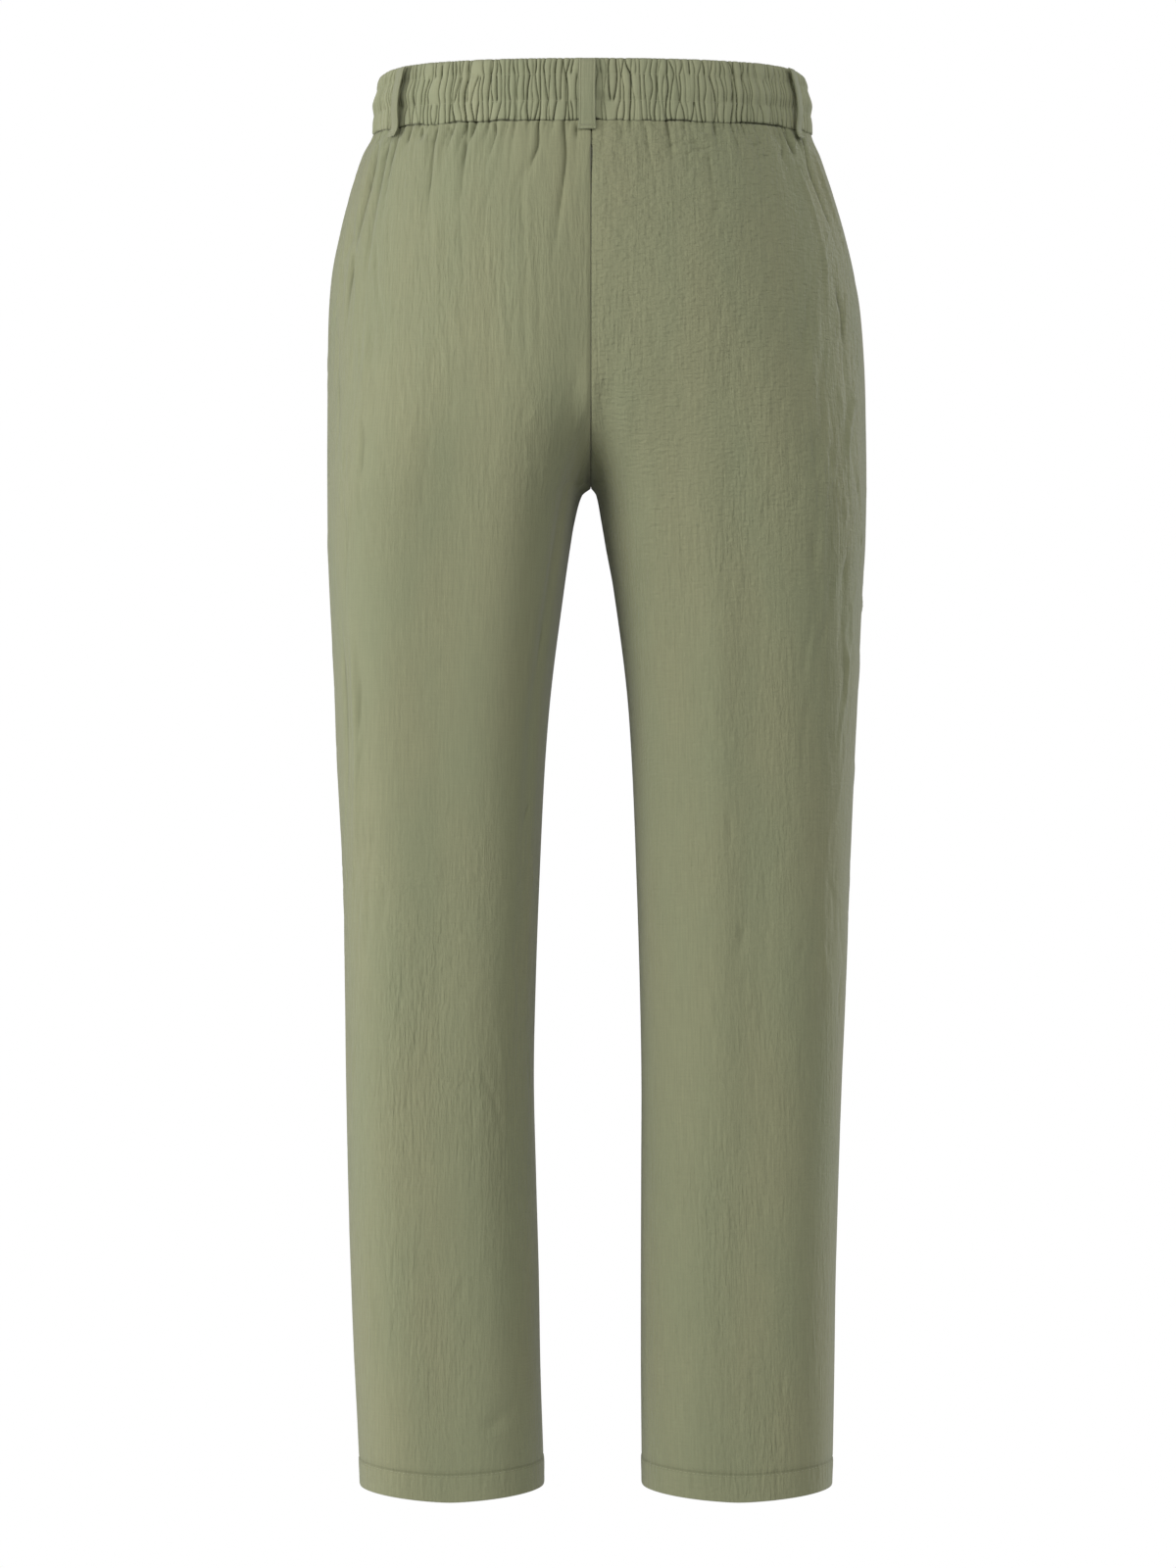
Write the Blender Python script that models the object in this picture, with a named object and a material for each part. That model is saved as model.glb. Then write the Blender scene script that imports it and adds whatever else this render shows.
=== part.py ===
"""Elastic-waist linen trousers in their worn form, built from the pieces that a maker cuts.

The wearer's left is +X, the front faces -Y and the legs hang down -Z. The origin is the
middle of the waistband, where the wearer holds the garment up. Lengths below are in
millimetres, and a drop is a distance down from the waistband's top edge.
"""

import math
from collections import namedtuple

import bpy
import numpy as np

MM = 0.001

# Driving dimensions.
BAND_HEIGHT = 45.0
CROTCH_DROP = 301.5
HEM_DROP = 1034.0
HEM_TURN = 20.0
CLOTH_WALL = 1.6
HEM_WALL = 2.6
BAND_WALL = 3.2
SEAM_GAP = 0.3
LOOP_WIDTH = 12.0
LOOP_WALL = 1.6

# Every section is a superellipse, a little squarer than an ellipse. Its exponent changes
# between two drops, from the waist's to the legs'.
SQUARENESS = 2.25
LEG_SQUARENESS = 3.0
SQUARER_FROM = 190.0
SQUARE_AT = 330.0

# How finely the pieces are divided.
OUTER_COLUMNS = 9
INNER_COLUMNS = 6
PANEL_COLUMNS = OUTER_COLUMNS + INNER_COLUMNS
BAND_STEPS = 60
# A panel's line is followed in so many steps from seam to seam, and so many past each seam.
ARC_STEPS = 1200
OVERRUN_STEPS = 190

LINEN = (0.262, 0.283, 0.162, 1.0)
LINEN_ROUGHNESS = 0.9

# One row for each section: the side seams' distances from the centre plane and the depths
# behind and in front of the side seams.
Section = namedtuple("Section", "drop left_out right_out back front")
SECTIONS = [Section(*row) for row in (
    (0.0, 154.5, 156.5, 104.0, 108.0),
    (12.0, 156.0, 158.0, 105.5, 109.0),
    (31.0, 158.0, 160.0, 107.5, 110.5),
    (45.0, 159.0, 161.0, 109.0, 111.5),
    (60.0, 166.5, 167.2, 114.0, 114.0),
    (75.0, 171.7, 172.4, 118.0, 115.5),
    (90.0, 176.3, 177.2, 122.0, 117.0),
    (118.0, 183.2, 185.3, 127.5, 118.5),
    (146.0, 188.6, 191.9, 131.5, 119.0),
    (175.0, 191.0, 196.6, 133.8, 118.5),
    (215.0, 191.8, 199.3, 134.2, 116.5),
    (260.0, 191.9, 200.2, 131.0, 112.5),
    (301.5, 191.8, 200.3, 125.4, 106.8),
    (346.0, 191.4, 199.4, 119.0, 101.5),
    (375.0, 190.3, 197.6, 115.0, 98.5),
    (446.0, 186.7, 194.6, 105.8, 93.0),
    (504.0, 184.6, 191.8, 99.4, 89.5),
    (589.0, 180.5, 188.2, 93.0, 86.0),
    (661.0, 179.2, 185.8, 89.5, 82.5),
    (732.0, 178.2, 183.0, 87.0, 79.0),
    (804.0, 176.7, 180.4, 84.5, 75.5),
    (876.0, 174.6, 178.3, 81.5, 72.5),
    (947.0, 172.1, 177.2, 78.0, 70.0),
    (1012.0, 169.2, 176.2, 74.0, 68.2),
    (HEM_DROP, 168.3, 175.6, 72.5, 67.6),
)]

# The inseams' distances from the centre plane, from the crotch down.
Inseam = namedtuple("Inseam", "drop left_in right_in")
INSEAMS = [Inseam(*row) for row in (
    (CROTCH_DROP, SEAM_GAP / 2, SEAM_GAP / 2),
    (306.0, 6.0, 3.6),
    (325.0, 11.6, 7.4),
    (346.0, 15.2, 11.0),
    (375.0, 19.4, 16.4),
    (446.0, 28.6, 25.8),
    (504.0, 33.5, 30.0),
    (589.0, 37.6, 33.4),
    (661.0, 40.2, 35.6),
    (732.0, 41.6, 36.9),
    (804.0, 40.0, 36.7),
    (876.0, 38.0, 36.5),
    (947.0, 36.8, 36.5),
    (1012.0, 34.8, 37.0),
    (HEM_DROP, 34.2, 37.2),
)]

# Above the crotch the centre seam follows a quarter ellipse from SEAT_DROP, and the middle of
# each leg moves out from the centre plane, beginning at SPREAD_DROP.
SEAT_DROP = 225.0
SPREAD_DROP = 60.0
SPREAD_POWER = 1.2
FLATTEST = 0.02
# Near the waist, where that middle is on the centre plane, this stands in for its distance.
LEAST_MIDDLE = 1.0

# The drops at which a leg panel is divided, closest round the crotch.
PANEL_DROPS = (BAND_HEIGHT + SEAM_GAP / 2, 54.0, 66.0, 84.0, 106.0, 132.0, 160.0, 190.0, 218.0,
               242.0, 260.0, 274.0, 285.0, 293.0, 298.5, CROTCH_DROP, 306.0, 314.0, 328.0,
               350.0, 385.0, 435.0, 500.0, 580.0, 670.0, 760.0, 850.0, 940.0,
               HEM_DROP - HEM_TURN - 2.0, HEM_DROP - HEM_TURN, HEM_DROP)

# The largest folds. across runs from 0 at the centre seam or inseam to 1 at the side seam,
# at the fold's top and its foot. height is how far it stands out, below zero for a trough.
Fold = namedtuple("Fold", "panel top_across foot_across top_drop foot_drop width height")
FOLDS = [Fold(*row) for row in (
    ("back_left", 0.86, 0.80, 50.0, 210.0, 13.0, -2.6),
    ("back_left", 0.35, 0.30, 60.0, 300.0, 16.0, -1.4),
    ("back_left", 0.22, 0.16, 520.0, 900.0, 24.0, -2.2),
    ("back_right", 0.84, 0.86, 50.0, 330.0, 14.0, -3.0),
    ("back_right", 0.60, 0.70, 55.0, 240.0, 15.0, -1.8),
    ("back_right", 0.53, 0.50, 400.0, 1034.0, 20.0, 2.0),
    ("front_left", 0.80, 0.72, 50.0, 300.0, 15.0, -2.4),
    ("front_left", 0.20, 0.34, 230.0, 420.0, 18.0, -2.2),
    ("front_left", 0.50, 0.52, 400.0, 1034.0, 20.0, 2.0),
    ("front_right", 0.78, 0.72, 50.0, 280.0, 15.0, -2.4),
    ("front_right", 0.18, 0.30, 235.0, 440.0, 18.0, -2.2),
    ("front_right", 0.48, 0.50, 420.0, 1034.0, 20.0, 2.0),
)]

# The gathers that the elastic draws into the cloth under the waistband.
GATHERS_PER_PANEL = 4
GATHER_DEPTH = 2.2
GATHER_REACH = 75.0
# Folds and gathers die out over this share of a panel's width beside its seams.
SEAM_HOLD = 0.09

# The waistband's outline, outer face first: three elastic tunnels between rows of stitching.
# stand_out is from the section, and ruched is how much of a ruche's depth a point takes.
BandPoint = namedtuple("BandPoint", "drop stand_out ruched")
BAND_FOOT = BAND_HEIGHT - SEAM_GAP / 2
BAND_OUTLINE = [BandPoint(*row) for row in (
    (0.3, -1.3, 0.3),
    (2.0, 0.0, 0.7),
    (7.0, 0.9, 1.0),
    (12.0, -0.3, 0.4),
    (21.5, 2.1, 1.0),
    (31.0, -0.2, 0.4),
    (38.0, 0.9, 1.0),
    (BAND_FOOT, 0.0, 0.4),
    (BAND_FOOT, -BAND_WALL, 0.0),
    (31.0, -BAND_WALL, 0.0),
    (12.0, -BAND_WALL, 0.0),
    (0.3, -BAND_WALL, 0.0),
)]
RUCHE_DEPTH = 1.0

# The front of the band past this turn is flat, with no elastic, and carries the eyelets.
FLAT_FRONT_TURN = 159.0
EYELET_TURNS = {"eyelet_left": 172.5, "eyelet_right": -172.5}
EYELET_DROP = 21.5
EYELET_RADIUS = 4.5
EYELET_HOLE = 2.2
EYELET_WALL = 0.9
EYELET_SIDES = 20
EYELET_SEAT = 2.45

# The belt loops: turn is in degrees from the centre back, towards the wearer's left.
Loop = namedtuple("Loop", "name turn slack")
LOOPS = [Loop(*row) for row in (
    ("loop_centre_back", 0.5, 1.8),
    ("loop_left", 59.0, 2.2),
    ("loop_right", -65.0, 2.4),
    ("loop_front_left", 140.0, 1.2),
    ("loop_front_right", -140.0, 1.2),
)]
# A loop's inner face, from its seat at the band's top edge to its seat below the band's seam.
# slackened is how much of the loop's slack a point takes.
LoopPoint = namedtuple("LoopPoint", "drop stand_out slackened")
LOOP_OUTLINE = [LoopPoint(*row) for row in (
    (1.2, 0.4, 0.0),
    (4.0, 1.35, 0.3),
    (9.5, 1.5, 0.7),
    (15.0, 1.8, 1.0),
    (21.5, 2.2, 1.0),
    (30.0, 2.0, 1.0),
    (38.0, 1.5, 0.8),
    (43.0, 1.0, 0.4),
    (47.0, 0.6, 0.0),
    (52.0, 0.45, 0.0),
)]


def clear_scene():
    """Remove whatever the file opened with."""
    for thing in list(bpy.data.objects):
        bpy.data.objects.remove(thing, do_unlink=True)


def linen_material(name):
    """The cloth's own plain material, one for each piece."""
    material = bpy.data.materials.new(name)
    material.use_nodes = True
    shader = material.node_tree.nodes["Principled BSDF"]
    shader.inputs["Base Color"].default_value = LINEN
    shader.inputs["Roughness"].default_value = LINEN_ROUGHNESS
    shader.inputs["Metallic"].default_value = 0.0
    return material


def add_piece(name, points, faces):
    """Make one named object from points in millimetres, with a drop for their third value."""
    world = [(x * MM, y * MM, (BAND_HEIGHT / 2 - drop) * MM) for x, y, drop in points]
    mesh = bpy.data.meshes.new(name)
    mesh.from_pydata(world, [], faces)
    mesh.materials.append(linen_material(name))
    mesh.shade_smooth()
    mesh.update()
    piece = bpy.data.objects.new(name, mesh)
    bpy.context.collection.objects.link(piece)
    return piece


def row_at(table, drop):
    """A table's row at any drop: a smooth curve through each of its columns."""
    drops = [row.drop for row in table]
    below = min(max(np.searchsorted(drops, drop), 1), len(drops) - 1)
    above = below - 1
    span = drops[below] - drops[above]
    share = min(max((drop - drops[above]) / span, 0.0), 1.0)

    def slope(column, row):
        low, high = max(row - 1, 0), min(row + 1, len(drops) - 1)
        return (table[high][column] - table[low][column]) / (drops[high] - drops[low])

    values = [drop]
    for column in range(1, len(table[0])):
        start, end = table[above][column], table[below][column]
        square, cube = share ** 2, share ** 3
        values.append(start * (2 * cube - 3 * square + 1)
                      + end * (3 * square - 2 * cube)
                      + slope(column, above) * span * (cube - 2 * square + share)
                      + slope(column, below) * span * (cube - square))
    return type(table[0])(*values)


def squareness_at(drop):
    """The exponent of the section at a drop."""
    share = min(max((drop - SQUARER_FROM) / (SQUARE_AT - SQUARER_FROM), 0.0), 1.0)
    return SQUARENESS + (LEG_SQUARENESS - SQUARENESS) * share * share * (3 - 2 * share)


def leg_reach(side, drop):
    """Where a leg's section has its side seam, its middle and its inner leg."""
    row = row_at(SECTIONS, drop)
    out = row.left_out if side == "left" else row.right_out
    if drop >= CROTCH_DROP:
        inseam = row_at(INSEAMS, drop)
        inner = inseam.left_in if side == "left" else inseam.right_in
        return out, (out + inner) / 2, inner
    spread = max(0.0, drop - SPREAD_DROP) / (CROTCH_DROP - SPREAD_DROP)
    middle = out / 2 * spread ** SPREAD_POWER
    fallen = max(0.0, drop - SEAT_DROP) / (CROTCH_DROP - SEAT_DROP)
    seam_depth = math.sqrt(1.0 - fallen ** 2)
    exponent = squareness_at(drop)
    flat = max(FLATTEST, 1.0 - seam_depth ** exponent) ** (1 / exponent)
    return out, middle, middle - max(middle, LEAST_MIDDLE) / flat


def panel_line(side, part, drop):
    """A leg panel's line at one drop, with one more point past each of its two edges.

    It runs from the centre seam, or the inseam, round to the side seam. Its columns are even
    above the crotch, and below it they divide the inner and the outer leg.
    """
    row = row_at(SECTIONS, drop)
    depth = row.back if part == "back" else row.front
    out, middle, inner = leg_reach(side, drop)
    turns = np.arange(-OVERRUN_STEPS, ARC_STEPS + OVERRUN_STEPS + 1) * math.pi / ARC_STEPS
    power = 2 / squareness_at(drop)
    across, along = np.cos(turns), np.sin(turns)
    half = np.where(across > 0, out - middle, middle - inner)
    x = middle + half * np.sign(across) * np.abs(across) ** power
    y = depth * np.sign(along) * np.abs(along) ** power
    length = np.concatenate([[0.0], np.cumsum(np.hypot(np.diff(x), np.diff(y)))])
    side_edge = np.interp(0.0, turns, length) + SEAM_GAP / 2
    reach = SEAM_GAP / 2 - middle
    share = min(abs(reach) / (out - middle if reach > 0 else middle - inner), 1.0)
    cut = math.acos(math.copysign(share ** (1 / power), reach))
    inseam = np.interp(math.pi, turns, length) - SEAM_GAP / 2
    inner_edge = min(np.interp(cut, turns, length), inseam)
    girth = inner_edge - side_edge
    even = INNER_COLUMNS / PANEL_COLUMNS * girth
    inner_length = max(even, inner_edge - np.interp(math.pi / 2, turns, length))
    inner_step = inner_length / INNER_COLUMNS
    outer_step = (girth - inner_length) / OUTER_COLUMNS
    stops = [inner_edge - inner_step * column for column in range(-1, INNER_COLUMNS + 1)]
    stops += [side_edge + outer_step * column for column in range(OUTER_COLUMNS - 1, -2, -1)]
    line = np.column_stack([np.interp(stops, length, x), np.interp(stops, length, y)])
    mirror = np.array([1.0 if side == "left" else -1.0, 1.0 if part == "back" else -1.0])
    return line * mirror, girth


def fold_height(panel, across, drop, girth):
    """How far the folds and gathers move the cloth out, at a place on a panel."""
    height = 0.0
    for fold in FOLDS:
        if fold.panel == panel and fold.top_drop < drop < fold.foot_drop:
            along = (drop - fold.top_drop) / (fold.foot_drop - fold.top_drop)
            middle = fold.top_across + (fold.foot_across - fold.top_across) * along
            away = (across - middle) * girth / fold.width
            height += fold.height * math.sin(math.pi * along) * math.exp(-away ** 2)
    fade = max(0.0, 1.0 - (drop - BAND_HEIGHT) / GATHER_REACH) ** 2
    wave = 0.5 - 0.5 * math.cos(2 * math.pi * GATHERS_PER_PANEL * across)
    height -= GATHER_DEPTH * fade * wave
    hold = min(1.0, across / SEAM_HOLD, (1.0 - across) / SEAM_HOLD)
    return height * max(hold, 0.0)


def grid_normals(grid, outward):
    """Unit normals of a grid of points whose first and last columns lie past its edges."""
    down = np.gradient(grid, axis=0)[:, 1:-1]
    round_it = grid[:, 2:] - grid[:, :-2]
    normals = np.cross(down, round_it)
    normals /= np.linalg.norm(normals, axis=2, keepdims=True)
    middle = normals[2, PANEL_COLUMNS // 2]
    return normals if np.dot(middle, outward) > 0 else -normals


def add_leg_panel(side, part):
    """One of the four panels, from the waistband to the hem: a wall of cloth with its folds."""
    name = f"{part}_{side}"
    lines = [panel_line(side, part, drop) for drop in PANEL_DROPS]
    girths = [girth for _, girth in lines]
    grid = np.array([np.column_stack([line, np.full(len(line), -drop)])
                     for (line, _), drop in zip(lines, PANEL_DROPS)])
    outward = np.array([0.0, 1.0 if part == "back" else -1.0, 0.0])
    normals = grid_normals(grid, outward)
    outer = grid[:, 1:-1].copy()
    for row, drop in enumerate(PANEL_DROPS):
        for column in range(PANEL_COLUMNS + 1):
            height = fold_height(name, column / PANEL_COLUMNS, drop, girths[row])
            outer[row, column] += normals[row, column] * height
    walls = np.array([HEM_WALL if drop >= HEM_DROP - HEM_TURN else CLOTH_WALL
                      for drop in PANEL_DROPS])
    inner = outer - normals * walls[:, None, None]
    inner[:, :, 2] = np.clip(inner[:, :, 2], -HEM_DROP, -PANEL_DROPS[0])
    inner[0, :, 2] = outer[0, :, 2]
    inner[-1, :, 2] = outer[-1, :, 2]
    points = [(x, y, -z) for x, y, z in np.concatenate([outer, inner]).reshape(-1, 3)]

    rows, columns = len(PANEL_DROPS), PANEL_COLUMNS + 1
    layer = rows * columns

    def corner(row, column, skin):
        return skin * layer + row * columns + column

    faces = []
    for row in range(rows - 1):
        for column in range(columns - 1):
            for skin in (0, 1):
                quad = [corner(row, column, skin), corner(row + 1, column, skin),
                        corner(row + 1, column + 1, skin), corner(row, column + 1, skin)]
                faces.append(quad if skin == 0 else quad[::-1])
        for column in (0, columns - 1):
            quad = [corner(row, column, 0), corner(row, column, 1),
                    corner(row + 1, column, 1), corner(row + 1, column, 0)]
            faces.append(quad if column == 0 else quad[::-1])
    for column in range(columns - 1):
        for row in (0, rows - 1):
            quad = [corner(row, column, 0), corner(row, column + 1, 0),
                    corner(row, column + 1, 1), corner(row, column, 1)]
            faces.append(quad if row == 0 else quad[::-1])
    if (side == "left") != (part == "front"):
        faces = [face[::-1] for face in faces]
    return add_piece(name, points, faces)


def waist_point(turn, drop, stand_out):
    """A point round the waist, stand_out from its section, at a turn from the centre back."""
    row = row_at(SECTIONS, drop)
    across, along = math.sin(math.radians(turn)), math.cos(math.radians(turn))
    half = row.left_out if across > 0 else row.right_out
    depth = row.back if along > 0 else row.front
    power = 2 / SQUARENESS
    x = half * math.copysign(abs(across) ** power, across)
    y = depth * math.copysign(abs(along) ** power, along)
    normal_x = math.copysign(abs(across) ** (2 - power), across) / half
    normal_y = math.copysign(abs(along) ** (2 - power), along) / depth
    size = math.hypot(normal_x, normal_y)
    normal = (normal_x / size, normal_y / size)
    return x + normal[0] * stand_out, y + normal[1] * stand_out, normal


def add_waistband():
    """The gathered elastic band: a ring whose outline is swept round the waist."""
    points = []
    for step in range(BAND_STEPS):
        turn = 360.0 * step / BAND_STEPS - 180.0
        ruche = RUCHE_DEPTH * (step % 2) if abs(turn) < FLAT_FRONT_TURN else 0.0
        for point in BAND_OUTLINE:
            stand_out = point.stand_out - ruche * point.ruched
            x, y, _ = waist_point(turn, point.drop, stand_out)
            points.append((x, y, point.drop))
    around = len(BAND_OUTLINE)
    faces = []
    for step in range(BAND_STEPS):
        here, there = step * around, (step + 1) % BAND_STEPS * around
        for index in range(around):
            after = (index + 1) % around
            faces.append([here + index, there + index, there + after, here + after])
    return add_piece("waistband", points, faces)


def add_loop(loop):
    """A belt loop: a flat strip seated on the band's top edge and just below its seam."""
    points = []
    for point in LOOP_OUTLINE:
        stand_out = point.stand_out + point.slackened * loop.slack
        x, y, normal = waist_point(loop.turn, point.drop, stand_out)
        for across, lift in ((-0.5, 0.0), (0.5, 0.0), (0.5, LOOP_WALL), (-0.5, LOOP_WALL)):
            shift = across * LOOP_WIDTH
            points.append((x + normal[1] * shift + normal[0] * lift,
                           y - normal[0] * shift + normal[1] * lift, point.drop))
    faces = [[0, 1, 2, 3]]
    for index in range(len(LOOP_OUTLINE) - 1):
        here, there = 4 * index, 4 * index + 4
        for side in range(4):
            after = (side + 1) % 4
            faces.append([here + side, there + side, there + after, here + after])
    faces.append([len(points) - 1, len(points) - 2, len(points) - 3, len(points) - 4])
    return add_piece(loop.name, points, faces)


def add_eyelet(name, turn):
    """A stitched eyelet: a flat ring on the middle tunnel of the waistband."""
    x, y, normal = waist_point(turn, EYELET_DROP, EYELET_SEAT)
    points = []
    for radius, lift in ((EYELET_RADIUS, 0.0), (EYELET_RADIUS, EYELET_WALL),
                         (EYELET_HOLE, EYELET_WALL), (EYELET_HOLE, 0.0)):
        for step in range(EYELET_SIDES):
            angle = 2 * math.pi * step / EYELET_SIDES
            shift = radius * math.cos(angle)
            points.append((x + normal[1] * shift + normal[0] * lift,
                           y - normal[0] * shift + normal[1] * lift,
                           EYELET_DROP - radius * math.sin(angle)))
    faces = []
    for ring in range(4):
        here, there = ring * EYELET_SIDES, (ring + 1) % 4 * EYELET_SIDES
        for step in range(EYELET_SIDES):
            after = (step + 1) % EYELET_SIDES
            faces.append([here + step, there + step, there + after, here + after])
    return add_piece(name, points, faces)


clear_scene()
for panel_part in ("back", "front"):
    for panel_side in ("left", "right"):
        add_leg_panel(panel_side, panel_part)
add_waistband()
for belt_loop in LOOPS:
    add_loop(belt_loop)
for eyelet_name, eyelet_turn in EYELET_TURNS.items():
    add_eyelet(eyelet_name, eyelet_turn)
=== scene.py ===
"""Elastic-waist linen trousers in their worn form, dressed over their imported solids.

The wearer's left is +X, the front faces -Y and the legs hang down -Z. Sizes below are in
millimetres, and a drop is a distance down from the waistband's top edge.
"""

import math
from collections import namedtuple

import bpy
import numpy as np
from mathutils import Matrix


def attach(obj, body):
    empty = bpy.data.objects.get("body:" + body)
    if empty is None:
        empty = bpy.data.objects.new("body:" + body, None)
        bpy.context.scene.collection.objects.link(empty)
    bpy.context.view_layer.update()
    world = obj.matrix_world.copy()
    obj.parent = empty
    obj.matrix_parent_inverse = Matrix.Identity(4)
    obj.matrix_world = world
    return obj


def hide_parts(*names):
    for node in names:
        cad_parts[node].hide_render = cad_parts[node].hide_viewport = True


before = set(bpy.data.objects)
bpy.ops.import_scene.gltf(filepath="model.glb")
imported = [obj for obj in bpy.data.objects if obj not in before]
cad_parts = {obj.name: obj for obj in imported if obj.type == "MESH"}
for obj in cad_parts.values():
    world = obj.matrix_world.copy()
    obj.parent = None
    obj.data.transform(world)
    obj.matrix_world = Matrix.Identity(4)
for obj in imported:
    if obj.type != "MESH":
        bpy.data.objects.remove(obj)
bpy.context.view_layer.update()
bpy.ops.object.select_all(action="DESELECT")

# ---------------------------------------------------------------------------------------
# The back panels. Each is one piece of crinkled linen, cut from the waist seam to the hem
# with the grain down the middle of the leg. Its edges turn in at the centre seam, inseam
# and side seam, and its foot is turned up inside and blind-stitched.
# ---------------------------------------------------------------------------------------

MM = 0.001
BAND_HEIGHT = 45.0
CROTCH_DROP = 301.5
HEM_DROP = 1034.0
HEM_TURN = 20.0
SEAM_GAP = 0.3
SQUARENESS = 2.25

# The worn form: a drop, the left and right side seams' distances from the centre plane, and
# the depths behind and in front of the side seams.
SECTIONS = np.array([
    (0.0, 154.5, 156.5, 104.0, 108.0),
    (12.0, 156.0, 158.0, 105.5, 109.0),
    (31.0, 158.0, 160.0, 107.5, 110.5),
    (45.0, 159.0, 161.0, 109.0, 111.5),
    (60.0, 166.5, 167.2, 114.0, 114.0),
    (75.0, 171.7, 172.4, 118.0, 115.5),
    (90.0, 176.3, 177.2, 122.0, 117.0),
    (118.0, 183.2, 185.3, 127.5, 118.5),
    (146.0, 188.6, 191.9, 131.5, 119.0),
    (175.0, 191.0, 196.6, 133.8, 118.5),
    (215.0, 191.8, 199.3, 134.2, 116.5),
    (260.0, 191.9, 200.2, 131.0, 112.5),
    (301.5, 191.8, 200.3, 125.4, 106.8),
    (346.0, 191.4, 199.4, 119.0, 101.5),
    (375.0, 190.3, 197.6, 115.0, 98.5),
    (446.0, 186.7, 194.6, 105.8, 93.0),
    (504.0, 184.6, 191.8, 99.4, 89.5),
    (589.0, 180.5, 188.2, 93.0, 86.0),
    (661.0, 179.2, 185.8, 89.5, 82.5),
    (732.0, 178.2, 183.0, 87.0, 79.0),
    (804.0, 176.7, 180.4, 84.5, 75.5),
    (876.0, 174.6, 178.3, 81.5, 72.5),
    (947.0, 172.1, 177.2, 78.0, 70.0),
    (1012.0, 169.2, 176.2, 74.0, 68.2),
    (1034.0, 168.3, 175.6, 72.5, 67.6),
])
# The inseams: a drop, and the left and right inseams' distances from the centre plane.
INSEAMS = np.array([
    (301.5, 0.15, 0.15),
    (306.0, 6.0, 3.6),
    (325.0, 11.6, 7.4),
    (346.0, 15.2, 11.0),
    (375.0, 19.4, 16.4),
    (446.0, 28.6, 25.8),
    (504.0, 33.5, 30.0),
    (589.0, 37.6, 33.4),
    (661.0, 40.2, 35.6),
    (732.0, 41.6, 36.9),
    (804.0, 40.0, 36.7),
    (876.0, 38.0, 36.5),
    (947.0, 36.8, 36.5),
    (1012.0, 34.8, 37.0),
    (1034.0, 34.2, 37.2),
])
SEAT_DROP = 225.0
SPREAD_DROP = 60.0
SPREAD_POWER = 1.2
FLATTEST = 0.02
# The legs' sections are squarer than the waist's: they change between these drops.
LEG_SQUARENESS = 3.0
SQUARER_FROM = 190.0
SQUARE_AT = 330.0
# The grain line's distances from the centre plane, at the waist seam and at the hem.
GRAIN_LINE = (88.0, 104.0)
# Between these drops only the columns beside the inner edge follow it under the crotch.
STEADY = (262.0, 400.0)
# Round the crotch the form's depth is evened out down its rows, over this height. That
# starts and ends between these drops, and fades out between these distances from the
# centre plane and over this far from the inner edge.
EVENED_OVER = 24.0
EVENED_START = (170.0, 240.0)
EVENED_END = (390.0, 480.0)
EVENED_OUT = (100.0, 140.0)
EVENED_IN = 14.0

# How finely a panel is divided, inside and outside its grain line, and down its length.
INNER_COLUMNS = 94
OUTER_COLUMNS = 116
ARC_STEPS = 560
OVERRUN_STEPS = 90
# An edge turns in on this radius, and its allowance reaches this deep.
EDGE_ROLL = 0.6
EDGE_STEPS = (0.0, 0.25, 0.6)
ALLOWANCE = (4.5, 1.6)


def smooth_rows(table, places):
    """The other columns of a table at any places in its first, on a smooth curve."""
    knots, last = table[:, 0], len(table) - 1
    before = np.maximum(np.arange(last + 1) - 1, 0)
    after = np.minimum(np.arange(last + 1) + 1, last)
    slopes = (table[after] - table[before]) / (knots[after] - knots[before])[:, None]
    low = np.clip(np.searchsorted(knots, places) - 1, 0, last - 1)
    span = (knots[low + 1] - knots[low])[:, None]
    share = np.clip((places - knots[low])[:, None] / span, 0, 1)
    square, cube = share**2, share**3
    values = (table[low] * (2 * cube - 3 * square + 1)
              + table[low + 1] * (3 * square - 2 * cube)
              + slopes[low] * span * (cube - 2 * square + share)
              + slopes[low + 1] * span * (cube - square))
    return values[:, 1:].T


def eased(share):
    """From 0 to 1 with a soft start and a soft end."""
    share = np.clip(share, 0, 1)
    return share * share * (3 - 2 * share)


def between(values, start, end):
    """From 0 to 1 with soft ends, as the values go from a start to an end."""
    return eased((values - start) / (end - start))


def running_length(steps):
    """How far each point of a line lies along it, from the lengths of its steps."""
    return np.concatenate([[0], np.cumsum(steps)])


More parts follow.
